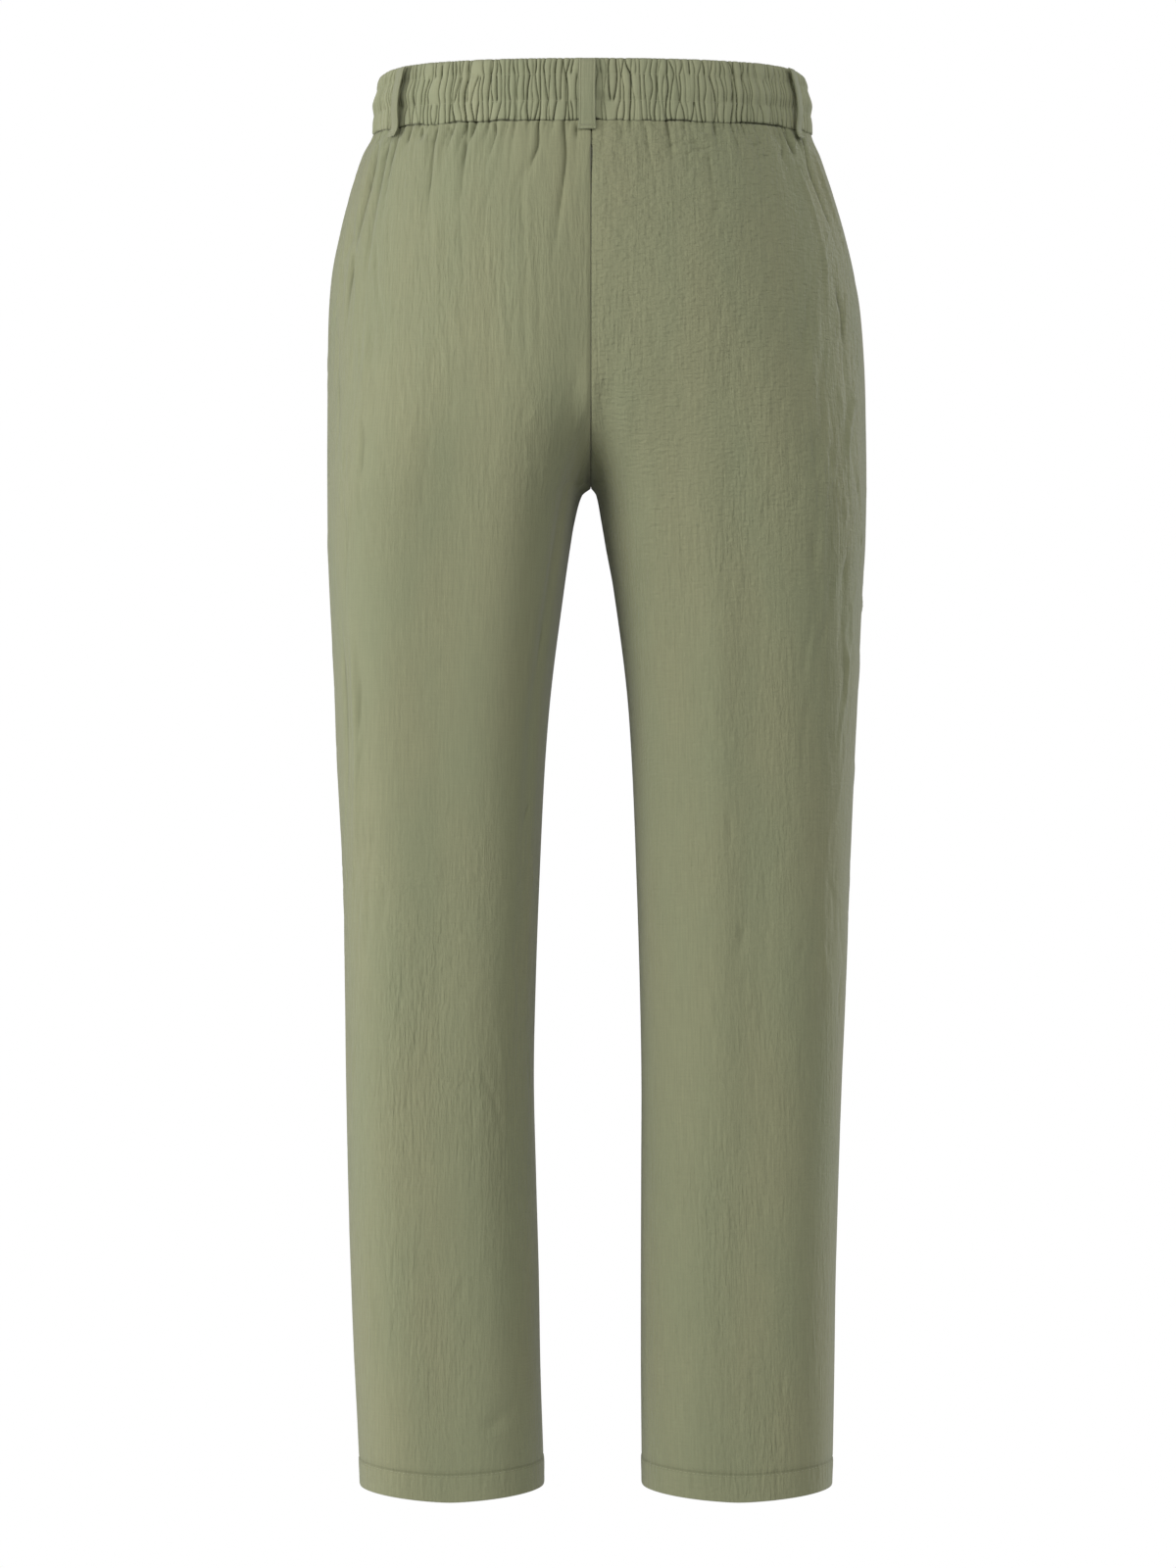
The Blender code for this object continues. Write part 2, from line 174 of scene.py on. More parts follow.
def worn_lines(side, part, drops):
    """A panel's smooth worn form: its points, and how far each lies from the grain line.

    Each row runs from the centre seam or inseam to the side seam. The grain line is the
    middle of the leg, and above the crotch it runs up the middle of the half body.
    """
    left_out, right_out, back, front = smooth_rows(SECTIONS, drops)
    left_in, right_in = smooth_rows(INSEAMS, drops)
    out, inseam = (left_out, left_in) if side == "left" else (right_out, right_in)
    depth = back if part == "back" else front
    spread = np.clip((drops - SPREAD_DROP) / (CROTCH_DROP - SPREAD_DROP), 0, 1)
    fallen = np.clip((drops - SEAT_DROP) / (CROTCH_DROP - SEAT_DROP), 0, 1)
    middle = out / 2 * spread**SPREAD_POWER
    seam_depth = np.sqrt(1 - fallen**2)
    squarer = between(drops, SQUARER_FROM, SQUARE_AT)
    exponents = SQUARENESS + (LEG_SQUARENESS - SQUARENESS) * squarer
    flat = np.maximum(FLATTEST, 1 - seam_depth**exponents) ** (1 / exponents)
    inner = middle - np.maximum(middle, 1) / flat
    leg = drops >= CROTCH_DROP
    middle = np.where(leg, (out + inseam) / 2, middle)
    inner = np.where(leg, inseam, inner)
    grain_x = np.interp(drops, (BAND_HEIGHT, HEM_DROP), GRAIN_LINE)
    turns = np.arange(-OVERRUN_STEPS, ARC_STEPS + OVERRUN_STEPS + 1) * math.pi / ARC_STEPS
    cosine, sine = np.cos(turns), np.sin(turns)
    lines, stations = [], []
    for row, power in enumerate(2 / exponents):
        half = np.where(cosine > 0, out[row] - middle[row], middle[row] - inner[row])
        x = middle[row] + half * np.sign(cosine) * np.abs(cosine) ** power
        y = depth[row] * np.sign(sine) * np.abs(sine) ** power
        arc = running_length(np.hypot(np.diff(x), np.diff(y)))

        def arc_at(place):
            reach = place - middle[row]
            width = out[row] - middle[row] if reach > 0 else middle[row] - inner[row]
            share = min(abs(reach) / width, 1)
            return np.interp(math.acos(math.copysign(share ** (1 / power), reach)), turns, arc)

        side_edge = np.interp(0, turns, arc) + SEAM_GAP / 2
        inner_edge = min(arc_at(SEAM_GAP / 2), np.interp(math.pi, turns, arc) - SEAM_GAP / 2)
        lines.append((arc, x, y))
        stations.append((inner_edge, arc_at(grain_x[row]), side_edge))
    inner_edges, grain_line, side_edges = np.array(stations).T
    # The inner edge runs far under the crotch in a few rows. Only the columns beside it
    # follow it there: the others keep a steady reach from the grain line.
    last = EDGE_STEPS[-1]
    reaches = grain_line - inner_edges + last
    steady_rows = (drops < STEADY[0]) | (drops > STEADY[1])
    steady = np.interp(drops, drops[steady_rows], reaches[steady_rows])
    shares = np.linspace(1, 0, INNER_COLUMNS)
    points, grains = [], []
    for row, (arc, x, y) in enumerate(lines):
        reach = steady[row] * shares + (reaches[row] - steady[row]) * shares**6
        stops = np.concatenate([
            inner_edges[row] - np.array(EDGE_STEPS[:-1]),
            grain_line[row] - reach,
            np.linspace(grain_line[row], side_edges[row] + last, OUTER_COLUMNS)[1:],
            side_edges[row] + np.array(EDGE_STEPS[-2::-1]),
        ])
        points.append(np.column_stack([np.interp(stops, arc, x), np.interp(stops, arc, y)]))
        grains.append(grain_line[row] - stops)
    points = np.array(points)
    # The cloth hangs past the crotch without a break in its fall.
    ladder = np.arange(0, EVENED_OUT[1], 1.0)
    depths = np.array([np.interp(ladder, *line.T) for line in points])
    shares = np.exp(-((drops[:, None] - drops) / EVENED_OVER) ** 2) * np.gradient(drops)
    evened = shares @ depths / shares.sum(axis=1, keepdims=True)
    near = between(drops, *EVENED_START) * (1 - between(drops, *EVENED_END))
    for line, change in zip(points, (evened - depths) * near[:, None]):
        share = eased((line[:, 0] - line[0, 0]) / EVENED_IN)
        share = share * (1 - between(line[:, 0], *EVENED_OUT))
        line[:, 1] += np.interp(line[:, 0], ladder, change) * share
    height = np.broadcast_to(-drops[:, None], points.shape[:2])
    points = np.dstack([points, height])
    if side == "right":
        points[:, :, 0] *= -1
    if part == "front":
        points[:, :, 1] *= -1
    return points, np.array(grains)


def outward_normals(points, part):
    """Unit normals of a panel's form, away from the wearer."""
    normals = np.cross(np.gradient(points, axis=0), np.gradient(points, axis=1))
    normals /= np.linalg.norm(normals, axis=2, keepdims=True)
    outward = 1 if part == "back" else -1
    return normals * np.sign(normals[3, points.shape[1] // 2, 1] * outward)


def crinkle_noise(across, along, seed):
    """Smooth gradient noise from about -1 to 1 over two arrays of lattice places."""
    lattice = 256
    angles = np.random.default_rng(seed).uniform(0, 2 * math.pi, (lattice, lattice))
    column, row = np.floor(across).astype(int), np.floor(along).astype(int)
    right, down = across - column, along - row

    def corner(step_right, step_down):
        angle = angles[(row + step_down) % lattice, (column + step_right) % lattice]
        return (right - step_right) * np.cos(angle) + (down - step_down) * np.sin(angle)

    ease_right = right**3 * (right * (6 * right - 15) + 10)
    ease_down = down**3 * (down * (6 * down - 15) + 10)
    top = corner(0, 0) * (1 - ease_right) + corner(1, 0) * ease_right
    foot = corner(0, 1) * (1 - ease_right) + corner(1, 1) * ease_right
    return 1.6 * (top * (1 - ease_down) + foot * ease_down)


# A fold's path is given in distances from the centre plane and drops. Its height is below
# zero for a trough, and start is 1 where it is at its full height from its first point on.
Fold = namedtuple("Fold", "width height start path")
BACK_LEFT_FOLDS = [Fold(*row) for row in (
    # Gathers under the waist seam, from the side to the centre seam.
    (4.0, -4.0, 0, [(152, 47), (160, 80), (170, 130), (176, 190)]),
    (3.2, -2.8, 0, [(145, 46), (150, 70), (158, 120), (163, 170)]),
    (3.6, -2.7, 1, [(138, 46), (143, 64), (148, 95), (154, 159)]),
    (3.0, -2.0, 1, [(130, 46), (135, 70)]),
    (2.6, -2.9, 1, [(122, 46), (122, 60)]),
    (3.0, 0.8, 0, [(118, 46), (121, 90)]),
    (2.6, -2.2, 1, [(111, 46), (114, 71), (117, 112), (120, 152)]),
    (2.5, 0.7, 0, [(107, 46), (110, 68), (112, 100)]),
    (2.0, -1.8, 1, [(100, 46), (101, 56)]),
    (2.4, -3.4, 1, [(89, 46), (91, 72), (95, 125)]),
    (3.0, 0.7, 0, [(83, 48), (86, 74), (90, 100)]),
    (2.0, -2.5, 1, [(69, 46), (68, 53), (72, 68), (75, 84)]),
    (2.4, -3.4, 1, [(38, 46), (38, 63), (43, 78), (46, 96)]),
    (2.4, -2.7, 1, [(20, 46), (18, 69), (20, 92), (24, 126), (25, 171)]),
    (2.0, -2.2, 1, [(11, 46), (10, 61)]),
    # Long soft folds down the hip and the outer leg.
    (5.0, -1.4, 0, [(171, 100), (178, 146), (184, 190)]),
    (5.0, 1.7, 0, [(162, 180), (161, 211), (164, 240), (167, 277), (166, 318), (164, 350)]),
    (4.0, 2.6, 0, [(175, 372), (170, 430), (168, 482), (169, 540), (171, 590), (174, 660)]),
    (3.0, -1.6, 0, [(181, 380), (177, 440), (175, 495), (176, 545), (178, 600)]),
    (2.2, -1.4, 0, [(171, 130), (175, 173), (178, 212)]),
    (1.8, -0.8, 0, [(170, 218), (162, 268), (165, 313), (158, 348), (160, 392)]),
    (1.8, -0.8, 0, [(180, 300), (174, 338), (176, 382), (172, 420)]),
    (1.8, -0.5, 0, [(152, 252), (144, 308), (147, 342)]),
    (1.8, -0.7, 0, [(164, 430), (166, 480), (171, 530), (167, 590)]),
    (2.2, -1.1, 0, [(184, 200), (181, 250), (184, 300)]),
    # Short creases on the thigh, and those that pull towards the crotch.
    (2.0, -0.35, 0, [(112, 255), (116, 279), (120, 319), (121, 345)]),
    (2.0, 0.5, 0, [(106, 190), (102, 228), (103, 256)]),
    (4.0, 0.5, 0, [(5, 225), (6, 254), (14, 273), (19, 290)]),
    (4.0, -0.5, 0, [(2, 250), (5, 268), (15, 294)]),
    (3.0, -0.5, 0, [(29, 343), (38, 369), (42, 384)]),
    (5.0, 0.8, 0, [(42, 280), (35, 303), (36, 340)]),
    (2.0, -0.3, 0, [(115, 444), (124, 465)]),
    # The leg's soft edge where the cloth turns towards the inseam, and knee creases.
    (31.0, 7.2, 0, [(36, 60), (42, 200), (55, 320), (64, 440), (72, 640), (76, 900)]),
    (9.0, -2.6, 0, [(6, 235), (22, 325), (44, 480), (52, 700), (54, 880)]),
    (2.0, -0.8, 0, [(43, 528), (50, 552)]),
    (2.0, 0.7, 0, [(47, 543), (49, 595)]),
    (2.5, -0.7, 0, [(33, 400), (39, 444)]),
    (2.5, 0.7, 0, [(168, 690), (172, 729), (171, 782)]),
    (2.0, -0.7, 0, [(81, 716), (71, 742), (64, 766), (65, 800)]),
    (2.2, 0.6, 0, [(69, 684), (63, 728), (61, 766)]),
    (2.2, -0.6, 0, [(49, 690), (44, 748), (45, 810)]),
    (4.0, 0.8, 0, [(166, 850), (158, 902), (158, 962)]),
    (6.0, -1.0, 0, [(80, 986), (61, 972), (40, 960)]),
)]
BACK_RIGHT_FOLDS = [Fold(*row) for row in (
    (2.0, -1.4, 1, [(20, 46), (22, 56), (20, 64)]),
    (2.0, -1.2, 1, [(38, 46), (40, 58), (42, 72), (46, 87), (46, 110)]),
    (2.0, -1.6, 1, [(65, 46), (68, 54)]),
    (2.0, -1.2, 1, [(89, 46), (89, 56)]),
    (2.0, -1.0, 1, [(110, 46), (111, 58)]),
    (2.0, -0.9, 1, [(123, 46), (125, 60)]),
    (2.2, -1.4, 1, [(136, 46), (139, 59), (138, 67), (139, 78), (140, 100)]),
    (1.5, -0.8, 0, [(103, 53), (108, 72)]),
    # Fine creases that run down across the grain from the seam.
    (1.4, -1.2, 0, [(70, 57), (58, 62), (46, 66)]),
    (1.4, -0.8, 0, [(84, 58), (64, 63), (45, 70)]),
    (1.4, -0.8, 0, [(94, 61), (70, 68), (47, 77)]),
    (1.4, -0.7, 0, [(98, 69), (78, 74), (58, 82)]),
    (1.6, 0.6, 0, [(90, 53), (62, 60)]),
    (1.4, -0.8, 0, [(127, 56), (118, 60), (107, 67)]),
    (1.4, -0.8, 0, [(132, 66), (112, 72)]),
    (1.4, -0.8, 0, [(69, 64), (70, 90)]),
    (1.5, -1.0, 0, [(83, 62), (86, 86), (90, 112)]),
    (2.0, 0.5, 0, [(120, 104), (140, 104), (155, 115)]),
    # Long folds round the hip to the side seam.
    (3.0, 2.2, 1, [(145, 48), (150, 74), (160, 105), (167, 136), (169, 156)]),
    (3.0, -3.2, 1, [(153, 46), (158, 73), (166, 96), (175, 123), (180, 150)]),
    (2.6, 2.2, 0, [(159, 46), (163, 68), (172, 95), (180, 117), (186, 140), (190, 170)]),
    (2.6, -2.0, 0, [(174, 150), (181, 190), (183, 240)]),
    (3.0, 2.0, 0, [(188, 190), (189, 234), (184, 270), (186, 312), (188, 350)]),
    (2.0, -0.6, 0, [(135, 131), (150, 154)]),
    (2.0, -0.5, 0, [(127, 127), (142, 148)]),
    (2.0, -0.5, 0, [(121, 149), (135, 172)]),
    (2.0, -0.6, 0, [(140, 158), (153, 182)]),
    (2.0, -0.5, 0, [(128, 172), (141, 197)]),
    (2.0, -0.6, 0, [(147, 188), (157, 216)]),
    # Soft folds beside the centre seam and down the leg's middle.
    (6.0, 1.2, 0, [(23, 205), (25, 258), (27, 304), (31, 330)]),
    (15.0, 1.6, 0, [(34, 150), (36, 250), (44, 350), (54, 460), (62, 620)]),
    (3.0, -0.6, 0, [(35, 262), (36, 288)]),
    (16.0, 2.6, 0, [(82, 160), (90, 400), (94, 588), (95, 798), (96, 1010)]),
    (15.0, -0.7, 0, [(122, 500), (124, 650), (124, 800), (122, 990)]),
    (2.0, -0.8, 0, [(99, 532), (99, 588)]),
    (2.0, 0.4, 0, [(103, 480), (102, 500)]),
    (4.0, -0.9, 0, [(110, 612), (102, 658)]),
    (2.6, 1.6, 0, [(180, 400), (184, 440), (178, 488), (178, 530)]),
    (2.0, -0.6, 0, [(153, 625), (148, 652)]),
    (2.0, -0.6, 0, [(168, 628), (171, 652)]),
)]

# Small creases scattered over a zone: its distances from the centre plane and its drops,
# how many, how long, how far they lean from the grain, how wide and how high.
Scatter = namedtuple("Scatter", "near far top foot count length lean width height")
EVERYWHERE = Scatter(2, 188, 62, 1008, 170, 64, 2, 2.4, 0.14)
BACK_LEFT_SCATTERS = [
    EVERYWHERE,
    Scatter(20, 176, 56, 300, 120, 80, 2, 1.8, 0.4),
    Scatter(154, 190, 130, 640, 150, 80, 0.5, 2.0, 0.8),
    Scatter(45, 110, 540, 690, 60, 22, 22, 2.4, 0.28),
    Scatter(36, 60, 560, 700, 20, 40, 3, 2.4, 0.45),
    Scatter(4, 60, 215, 300, 24, 30, 14, 2.4, 0.25),
    Scatter(40, 100, 700, 960, 70, 28, 10, 2.4, 0.22),
]
BACK_RIGHT_SCATTERS = [
    EVERYWHERE,
    Scatter(10, 140, 54, 112, 70, 17, 74, 1.4, 0.5),
    Scatter(10, 150, 110, 230, 60, 17, 70, 2.0, 0.35),
    Scatter(90, 165, 110, 330, 90, 26, -24, 2.4, 0.3),
    Scatter(10, 100, 160, 460, 80, 24, 8, 2.4, 0.22),
    Scatter(35, 90, 440, 560, 30, 16, 70, 2.2, 0.2),
    Scatter(156, 197, 130, 700, 130, 80, -1, 2.2, 0.9),
    Scatter(105, 182, 590, 690, 40, 30, 14, 2.4, 0.4),
    Scatter(45, 150, 640, 1000, 110, 30, -6, 2.4, 0.22),
]


def scattered(scatters, seed):
    """The folds of some scatters, each with its own place, length and height."""
    draw = np.random.default_rng(seed)
    folds = []
    for zone in scatters:
        for _ in range(zone.count):
            across, drop = draw.uniform(zone.near, zone.far), draw.uniform(zone.top, zone.foot)
            lean = math.radians(zone.lean + draw.normal(0, 4 + abs(zone.lean) / 6))
            length = zone.length * draw.uniform(0.4, 1.6)
            bow = length * draw.normal(0, 0.05)
            step, fall = math.sin(lean) * length / 2, math.cos(lean) * length / 2
            height = zone.height * draw.uniform(0.3, 1.1) * draw.choice([-1.0, 0.8])
            path = [(across - step, drop - fall), (across + bow, drop), (across + step, drop + fall)]
            folds.append(Fold(zone.width * draw.uniform(0.8, 1.4), height, 0, path))
    return folds


# A fold dies out so many of its widths away, and over these shares of its length at its
# start and its end. A gather that starts at the seam is this share of its width there.
FOLD_REACH = 3.2
FOLD_START = 0.3
FOLD_END = 0.7
GATHER_START = 0.25


def fold_relief(folds, points, grains, drops):
    """How high the folds lift the cloth, at each point of a panel."""
    relief = np.zeros(grains.shape)
    across = np.abs(points[:, :, 0])
    for fold in folds:
        path = np.array(fold.path, float)
        if len(path) == 2:
            path = np.vstack([path[0], path.mean(axis=0), path[1]])
        rows = np.clip(np.searchsorted(drops, path[:, 1]), 1, len(drops) - 2)
        path[:, 0] = [np.interp(place, across[row], grains[row])
                      for place, row in zip(path[:, 0], rows)]
        steps = np.arange(len(path), dtype=float)
        line = smooth_rows(np.column_stack([steps, path]), np.linspace(0, steps[-1], 13)).T
        reach = FOLD_REACH * fold.width
        first, last = np.searchsorted(drops, (line[:, 1].min() - reach, line[:, 1].max() + reach))
        window = grains[first:last]
        near = (window > line[:, 0].min() - reach) & (window < line[:, 0].max() + reach)
        if not near.any():
            continue
        place = np.column_stack([window[near], np.repeat(drops[first:last], near.sum(axis=1))])
        start, run = line[:-1], np.diff(line, axis=0)
        offset = place[:, None, :] - start
        share = np.clip((offset * run).sum(2) / (run**2).sum(1), 0, 1)
        away = ((offset - share[:, :, None] * run) ** 2).sum(2)
        nearest = away.argmin(axis=1)
        each = np.arange(len(place))
        along = (nearest + share[each, nearest]) / len(run)
        swell = eased((1 - along) / FOLD_END)
        if not fold.start:
            swell = swell * eased(along / FOLD_START)
        # A gather that starts at the seam is a sharp crease there, and opens further down.
        sharpness = 0.5 if fold.start else 1.0
        opened = GATHER_START + (1 - GATHER_START) * along if fold.start else 1
        profile = np.exp(-(away[each, nearest] / (fold.width * opened) ** 2) ** sharpness)
        relief[first:last][near] += fold.height * swell * profile
    return relief


# The front's middle is flat, so far to each side of the centre front.
FLAT_FRONT = 62.0
# How deep and how wide a sharp pucker is, and how wide and how deep its shoulders are.
PUCKER_DEPTH = 2.5
PUCKER_WIDTH = 0.5
SHOULDER_WIDTH = 1.8
SHOULDER_SHARE = 0.22


def waist_girth(side, part):
    """The length of a quarter of the waist seam, from the centre seam to the side seam."""
    points, _ = worn_lines(side, part, np.array([BAND_HEIGHT, BAND_HEIGHT + 1]))
    return np.linalg.norm(np.diff(points[0], axis=0), axis=1).sum()


QUARTERS = {(side, part): waist_girth(side, part)
            for side in ("left", "right") for part in ("back", "front")}
LEFT_GIRTH = QUARTERS["left", "back"] + QUARTERS["left", "front"]
RIGHT_GIRTH = QUARTERS["right", "back"] + QUARTERS["right", "front"]


# The elastic's puckers run down the band through its three tunnels. Each has a place on the
# girth at each of the tunnels' four edges, counted from the centre back towards the
# wearer's left, and in each tunnel a strength and a bow. Some stop at a row of stitches,
# and a few run deep through all three. Those within a short way sway together, and each
# strays on its own.
PUCKER_SPACING = 3.3
PUCKER_SWAY = 2.0
PUCKERS_TOGETHER = 16.0
PUCKER_STRAY = 0.9
PUCKER_BOW = 0.5
PUCKER_SHARES = (0.97, 0.94, 0.88)
DEEP_SHARE = 0.09
DEEP_STRENGTH = 1.5
pucker_draw = np.random.default_rng(11)
pucker_places = np.arange(FLAT_FRONT - RIGHT_GIRTH, LEFT_GIRTH - FLAT_FRONT, PUCKER_SPACING)
pucker_places += PUCKER_SPACING * pucker_draw.uniform(-0.3, 0.3, len(pucker_places))
pucker_places = pucker_places[:, None] + PUCKER_SWAY * crinkle_noise(
    pucker_places[:, None] / PUCKERS_TOGETHER, np.arange(4) * 0.61 + 3.3, 31)
pucker_places += pucker_draw.normal(0, PUCKER_STRAY, pucker_places.shape)
pucker_bows = pucker_draw.normal(0, PUCKER_BOW, (len(pucker_places), 3))
pucker_strengths = pucker_draw.uniform(0.6, 1.15, (len(pucker_places), 1))
pucker_strengths = pucker_strengths * pucker_draw.uniform(0.65, 1.1, pucker_bows.shape)
pucker_strengths[pucker_draw.random(len(pucker_places)) < DEEP_SHARE] = DEEP_STRENGTH
pucker_strengths *= pucker_draw.random(pucker_bows.shape) < PUCKER_SHARES
pucker_strengths *= np.where(pucker_places[:, :1] > 0, 1.15, 0.85)
# A pucker dies out this far below the waist seam: most do at once, and a few run on. It
# opens to twice its width over so many millimetres.
GATHER_REACH = (4.0, 36.0)
GATHER_DEPTH = 2.2
GATHER_WIDTH = 0.9
GATHER_OPENS = 12.0


def gather_relief(girth_places, drops, seed):
    """How deep the puckers still draw the cloth in below the waist seam."""
    draw = np.random.default_rng(seed)
    relief = np.zeros(girth_places.shape)
    low, high = girth_places.min() - 4, girth_places.max() + 4
    below = (drops - BAND_HEIGHT)[:, None]
    for place, strength in zip(pucker_places[:, -1], pucker_strengths[:, -1]):
        reach = GATHER_REACH[0] + (GATHER_REACH[1] - GATHER_REACH[0]) * draw.random() ** 2.4
        drift = draw.normal(0, 0.06)
        if low < place < high:
            fade = np.exp(-(below / reach) ** 1.3)
            width = GATHER_WIDTH * (1 + below / GATHER_OPENS)
            away = (girth_places - place - drift * below) / width
            relief -= GATHER_DEPTH * strength * fade * np.exp(-np.abs(away))
    return relief


def blurred(values, reach):
    """The mean of a grid's values over a square of so many points each way."""
    for axis in (0, 1):
        padded = np.concatenate([np.repeat(values.take([0], axis), reach, axis), values,
                                 np.repeat(values.take([-1], axis), reach, axis)], axis)
        total = np.cumsum(padded, axis)
        total = np.concatenate([np.zeros_like(total.take([0], axis)), total], axis)
        size = values.shape[axis]
        width = 2 * reach + 1
        values = (total.take(range(width, width + size), axis)
                  - total.take(range(size), axis)) / width
    return values


# How deep a point lies in a crease sets how much shade is painted into its colour.
def crease_depth(relief, full, shallow):
    """How deep each point lies in a crease, from 0 at a shallow depth to 1 at the full."""
    return np.clip((blurred(relief, 3) - relief - shallow) / full, 0, 1)


def mark_points(piece, name, values):
    """Store a value at each point of a piece, for its material."""
    piece.data.attributes.new(name, "FLOAT", "POINT").data.foreach_set(
        "value", values.reshape(-1).astype(np.float32))


def in_metres(points):
    """Points in millimetres, with their drops below zero, at their place in the frame."""
    placed = points * MM
    placed[..., 2] += BAND_HEIGHT / 2 * MM
    return placed


def add_grid(name, points, flat):
    """A grid of points as one piece, with their places on the flat cloth as its UV map."""
    bpy.ops.mesh.primitive_grid_add(x_subdivisions=points.shape[1] - 1,
                                    y_subdivisions=points.shape[0] - 1)
    piece = bpy.context.object
    piece.name = piece.data.name = name
    piece.data.vertices.foreach_set("co", in_metres(points).reshape(-1).astype(np.float32))
    corners = np.zeros(len(piece.data.loops), dtype=np.int32)
    piece.data.loops.foreach_get("vertex_index", corners)
    piece.data.uv_layers[0].uv.foreach_set(
        "vector", (flat * MM).reshape(-1, 2)[corners].reshape(-1).astype(np.float32))
    return piece


def finish(piece, material):
    """Smooth a piece, give it its material and deselect it."""
    piece.data.shade_smooth()
    piece.data.materials.append(material)
    piece.select_set(False)


# How crinkled each panel is down its length, at these drops: it is smoothest at the knee.
CRINKLED_DROPS = (45, 120, 300, 370, 430, 520, 590, 690, 780, 900, 1034)
CRINKLED = {
    ("left", "back"): (1.2, 1.2, 0.9, 0.35, 0.25, 0.4, 0.9, 1.1, 1.2, 1.0, 0.7),
    ("right", "back"): (1.1, 1.3, 1.4, 1.2, 0.9, 0.7, 0.8, 0.8, 0.9, 1.2, 1.1),
    ("left", "front"): (1.3, 1.2, 1.2, 0.8, 0.6, 0.6, 0.8, 0.8, 1.0, 1.1, 0.9),
    ("right", "front"): (1.3, 1.3, 1.1, 0.7, 0.5, 0.6, 0.8, 0.9, 1.0, 1.0, 0.9),
}
# How far the crinkle also runs across the grain, which it does most on the right hip.
CROSSED = {
    ("left", "back"): (0.15, 0.15, 0.2, 0.1, 0.1, 0.1, 0.3, 0.2, 0.2, 0.2, 0.2),
    ("right", "back"): (1.3, 1.2, 0.7, 0.5, 0.3, 0.4, 0.3, 0.2, 0.3, 0.3, 0.3),
    ("left", "front"): (0.3, 0.3, 0.4, 0.2, 0.2, 0.3, 0.3, 0.2, 0.2, 0.2, 0.2),
    ("right", "front"): (0.4, 0.4, 0.4, 0.2, 0.2, 0.3, 0.3, 0.2, 0.2, 0.2, 0.2),
}
# The crinkle of the whole cloth, from soft waves to narrow ones: sizes across and along the
# grain, height, and seed.
CRINKLES = (
    (46.0, 230.0, 0.45, 1),
    (21.0, 130.0, 0.13, 2),
    (9.5, 90.0, 0.08, 3),
    (6.0, 70.0, 0.09, 4),
)
# The crinkle wanders aside by this much, over these sizes across and along the grain, and
# its strength changes over these.
WANDER = 2.5
WANDER_SIZE = (30.0, 60.0)
ROUGH_SIZE = (60.0, 110.0)
# The cloth is calm along its seams. The waist seam holds its folds to a share of their
# depth, and they are free this far below it.
SEAM_CALM = 9.0
HELD_SHARE = 0.65
HELD_OVER = 6.0
# The waist edge reaches up behind the band's foot in two rows: how deep inside, how far up,
# and how far on along the cloth. The side edges' allowances lie this far on.
LIP = ((2.3, 3.2, 4.3), (0.9, 0.6, 1.3))
ALLOWANCE_RUN = (4.5, 2.0)
# The hem stands out a little, and its stitches draw in a groove. It puckers above its foot,
# at this height and over this much to each side.
HEM_STEP = 0.3
HEM_GROOVE = 0.6
HEM_PUCKER = 0.5
HEM_PUCKER_RISE = 14.0
HEM_PUCKER_OVER = 7.0
# The hem is shorter at its seams than between them, and the cloth above it evens that out.
HEM_BOW = 7.0
HEM_BOW_POWER = 1.5
HEM_BOW_OVER = 120.0
# Its cloth turns up inside: first in a fold, this deep and this far up, and then in rows
# at these heights, at a steady depth.
HEM_FOLD_DEPTH = 0.9
HEM_FOLD_RISE = 0.2
HEM_RISES = (1.2, 4.0, 8.0, 12.0, 16.0, 19.5)
HEM_INSIDE = 2.2


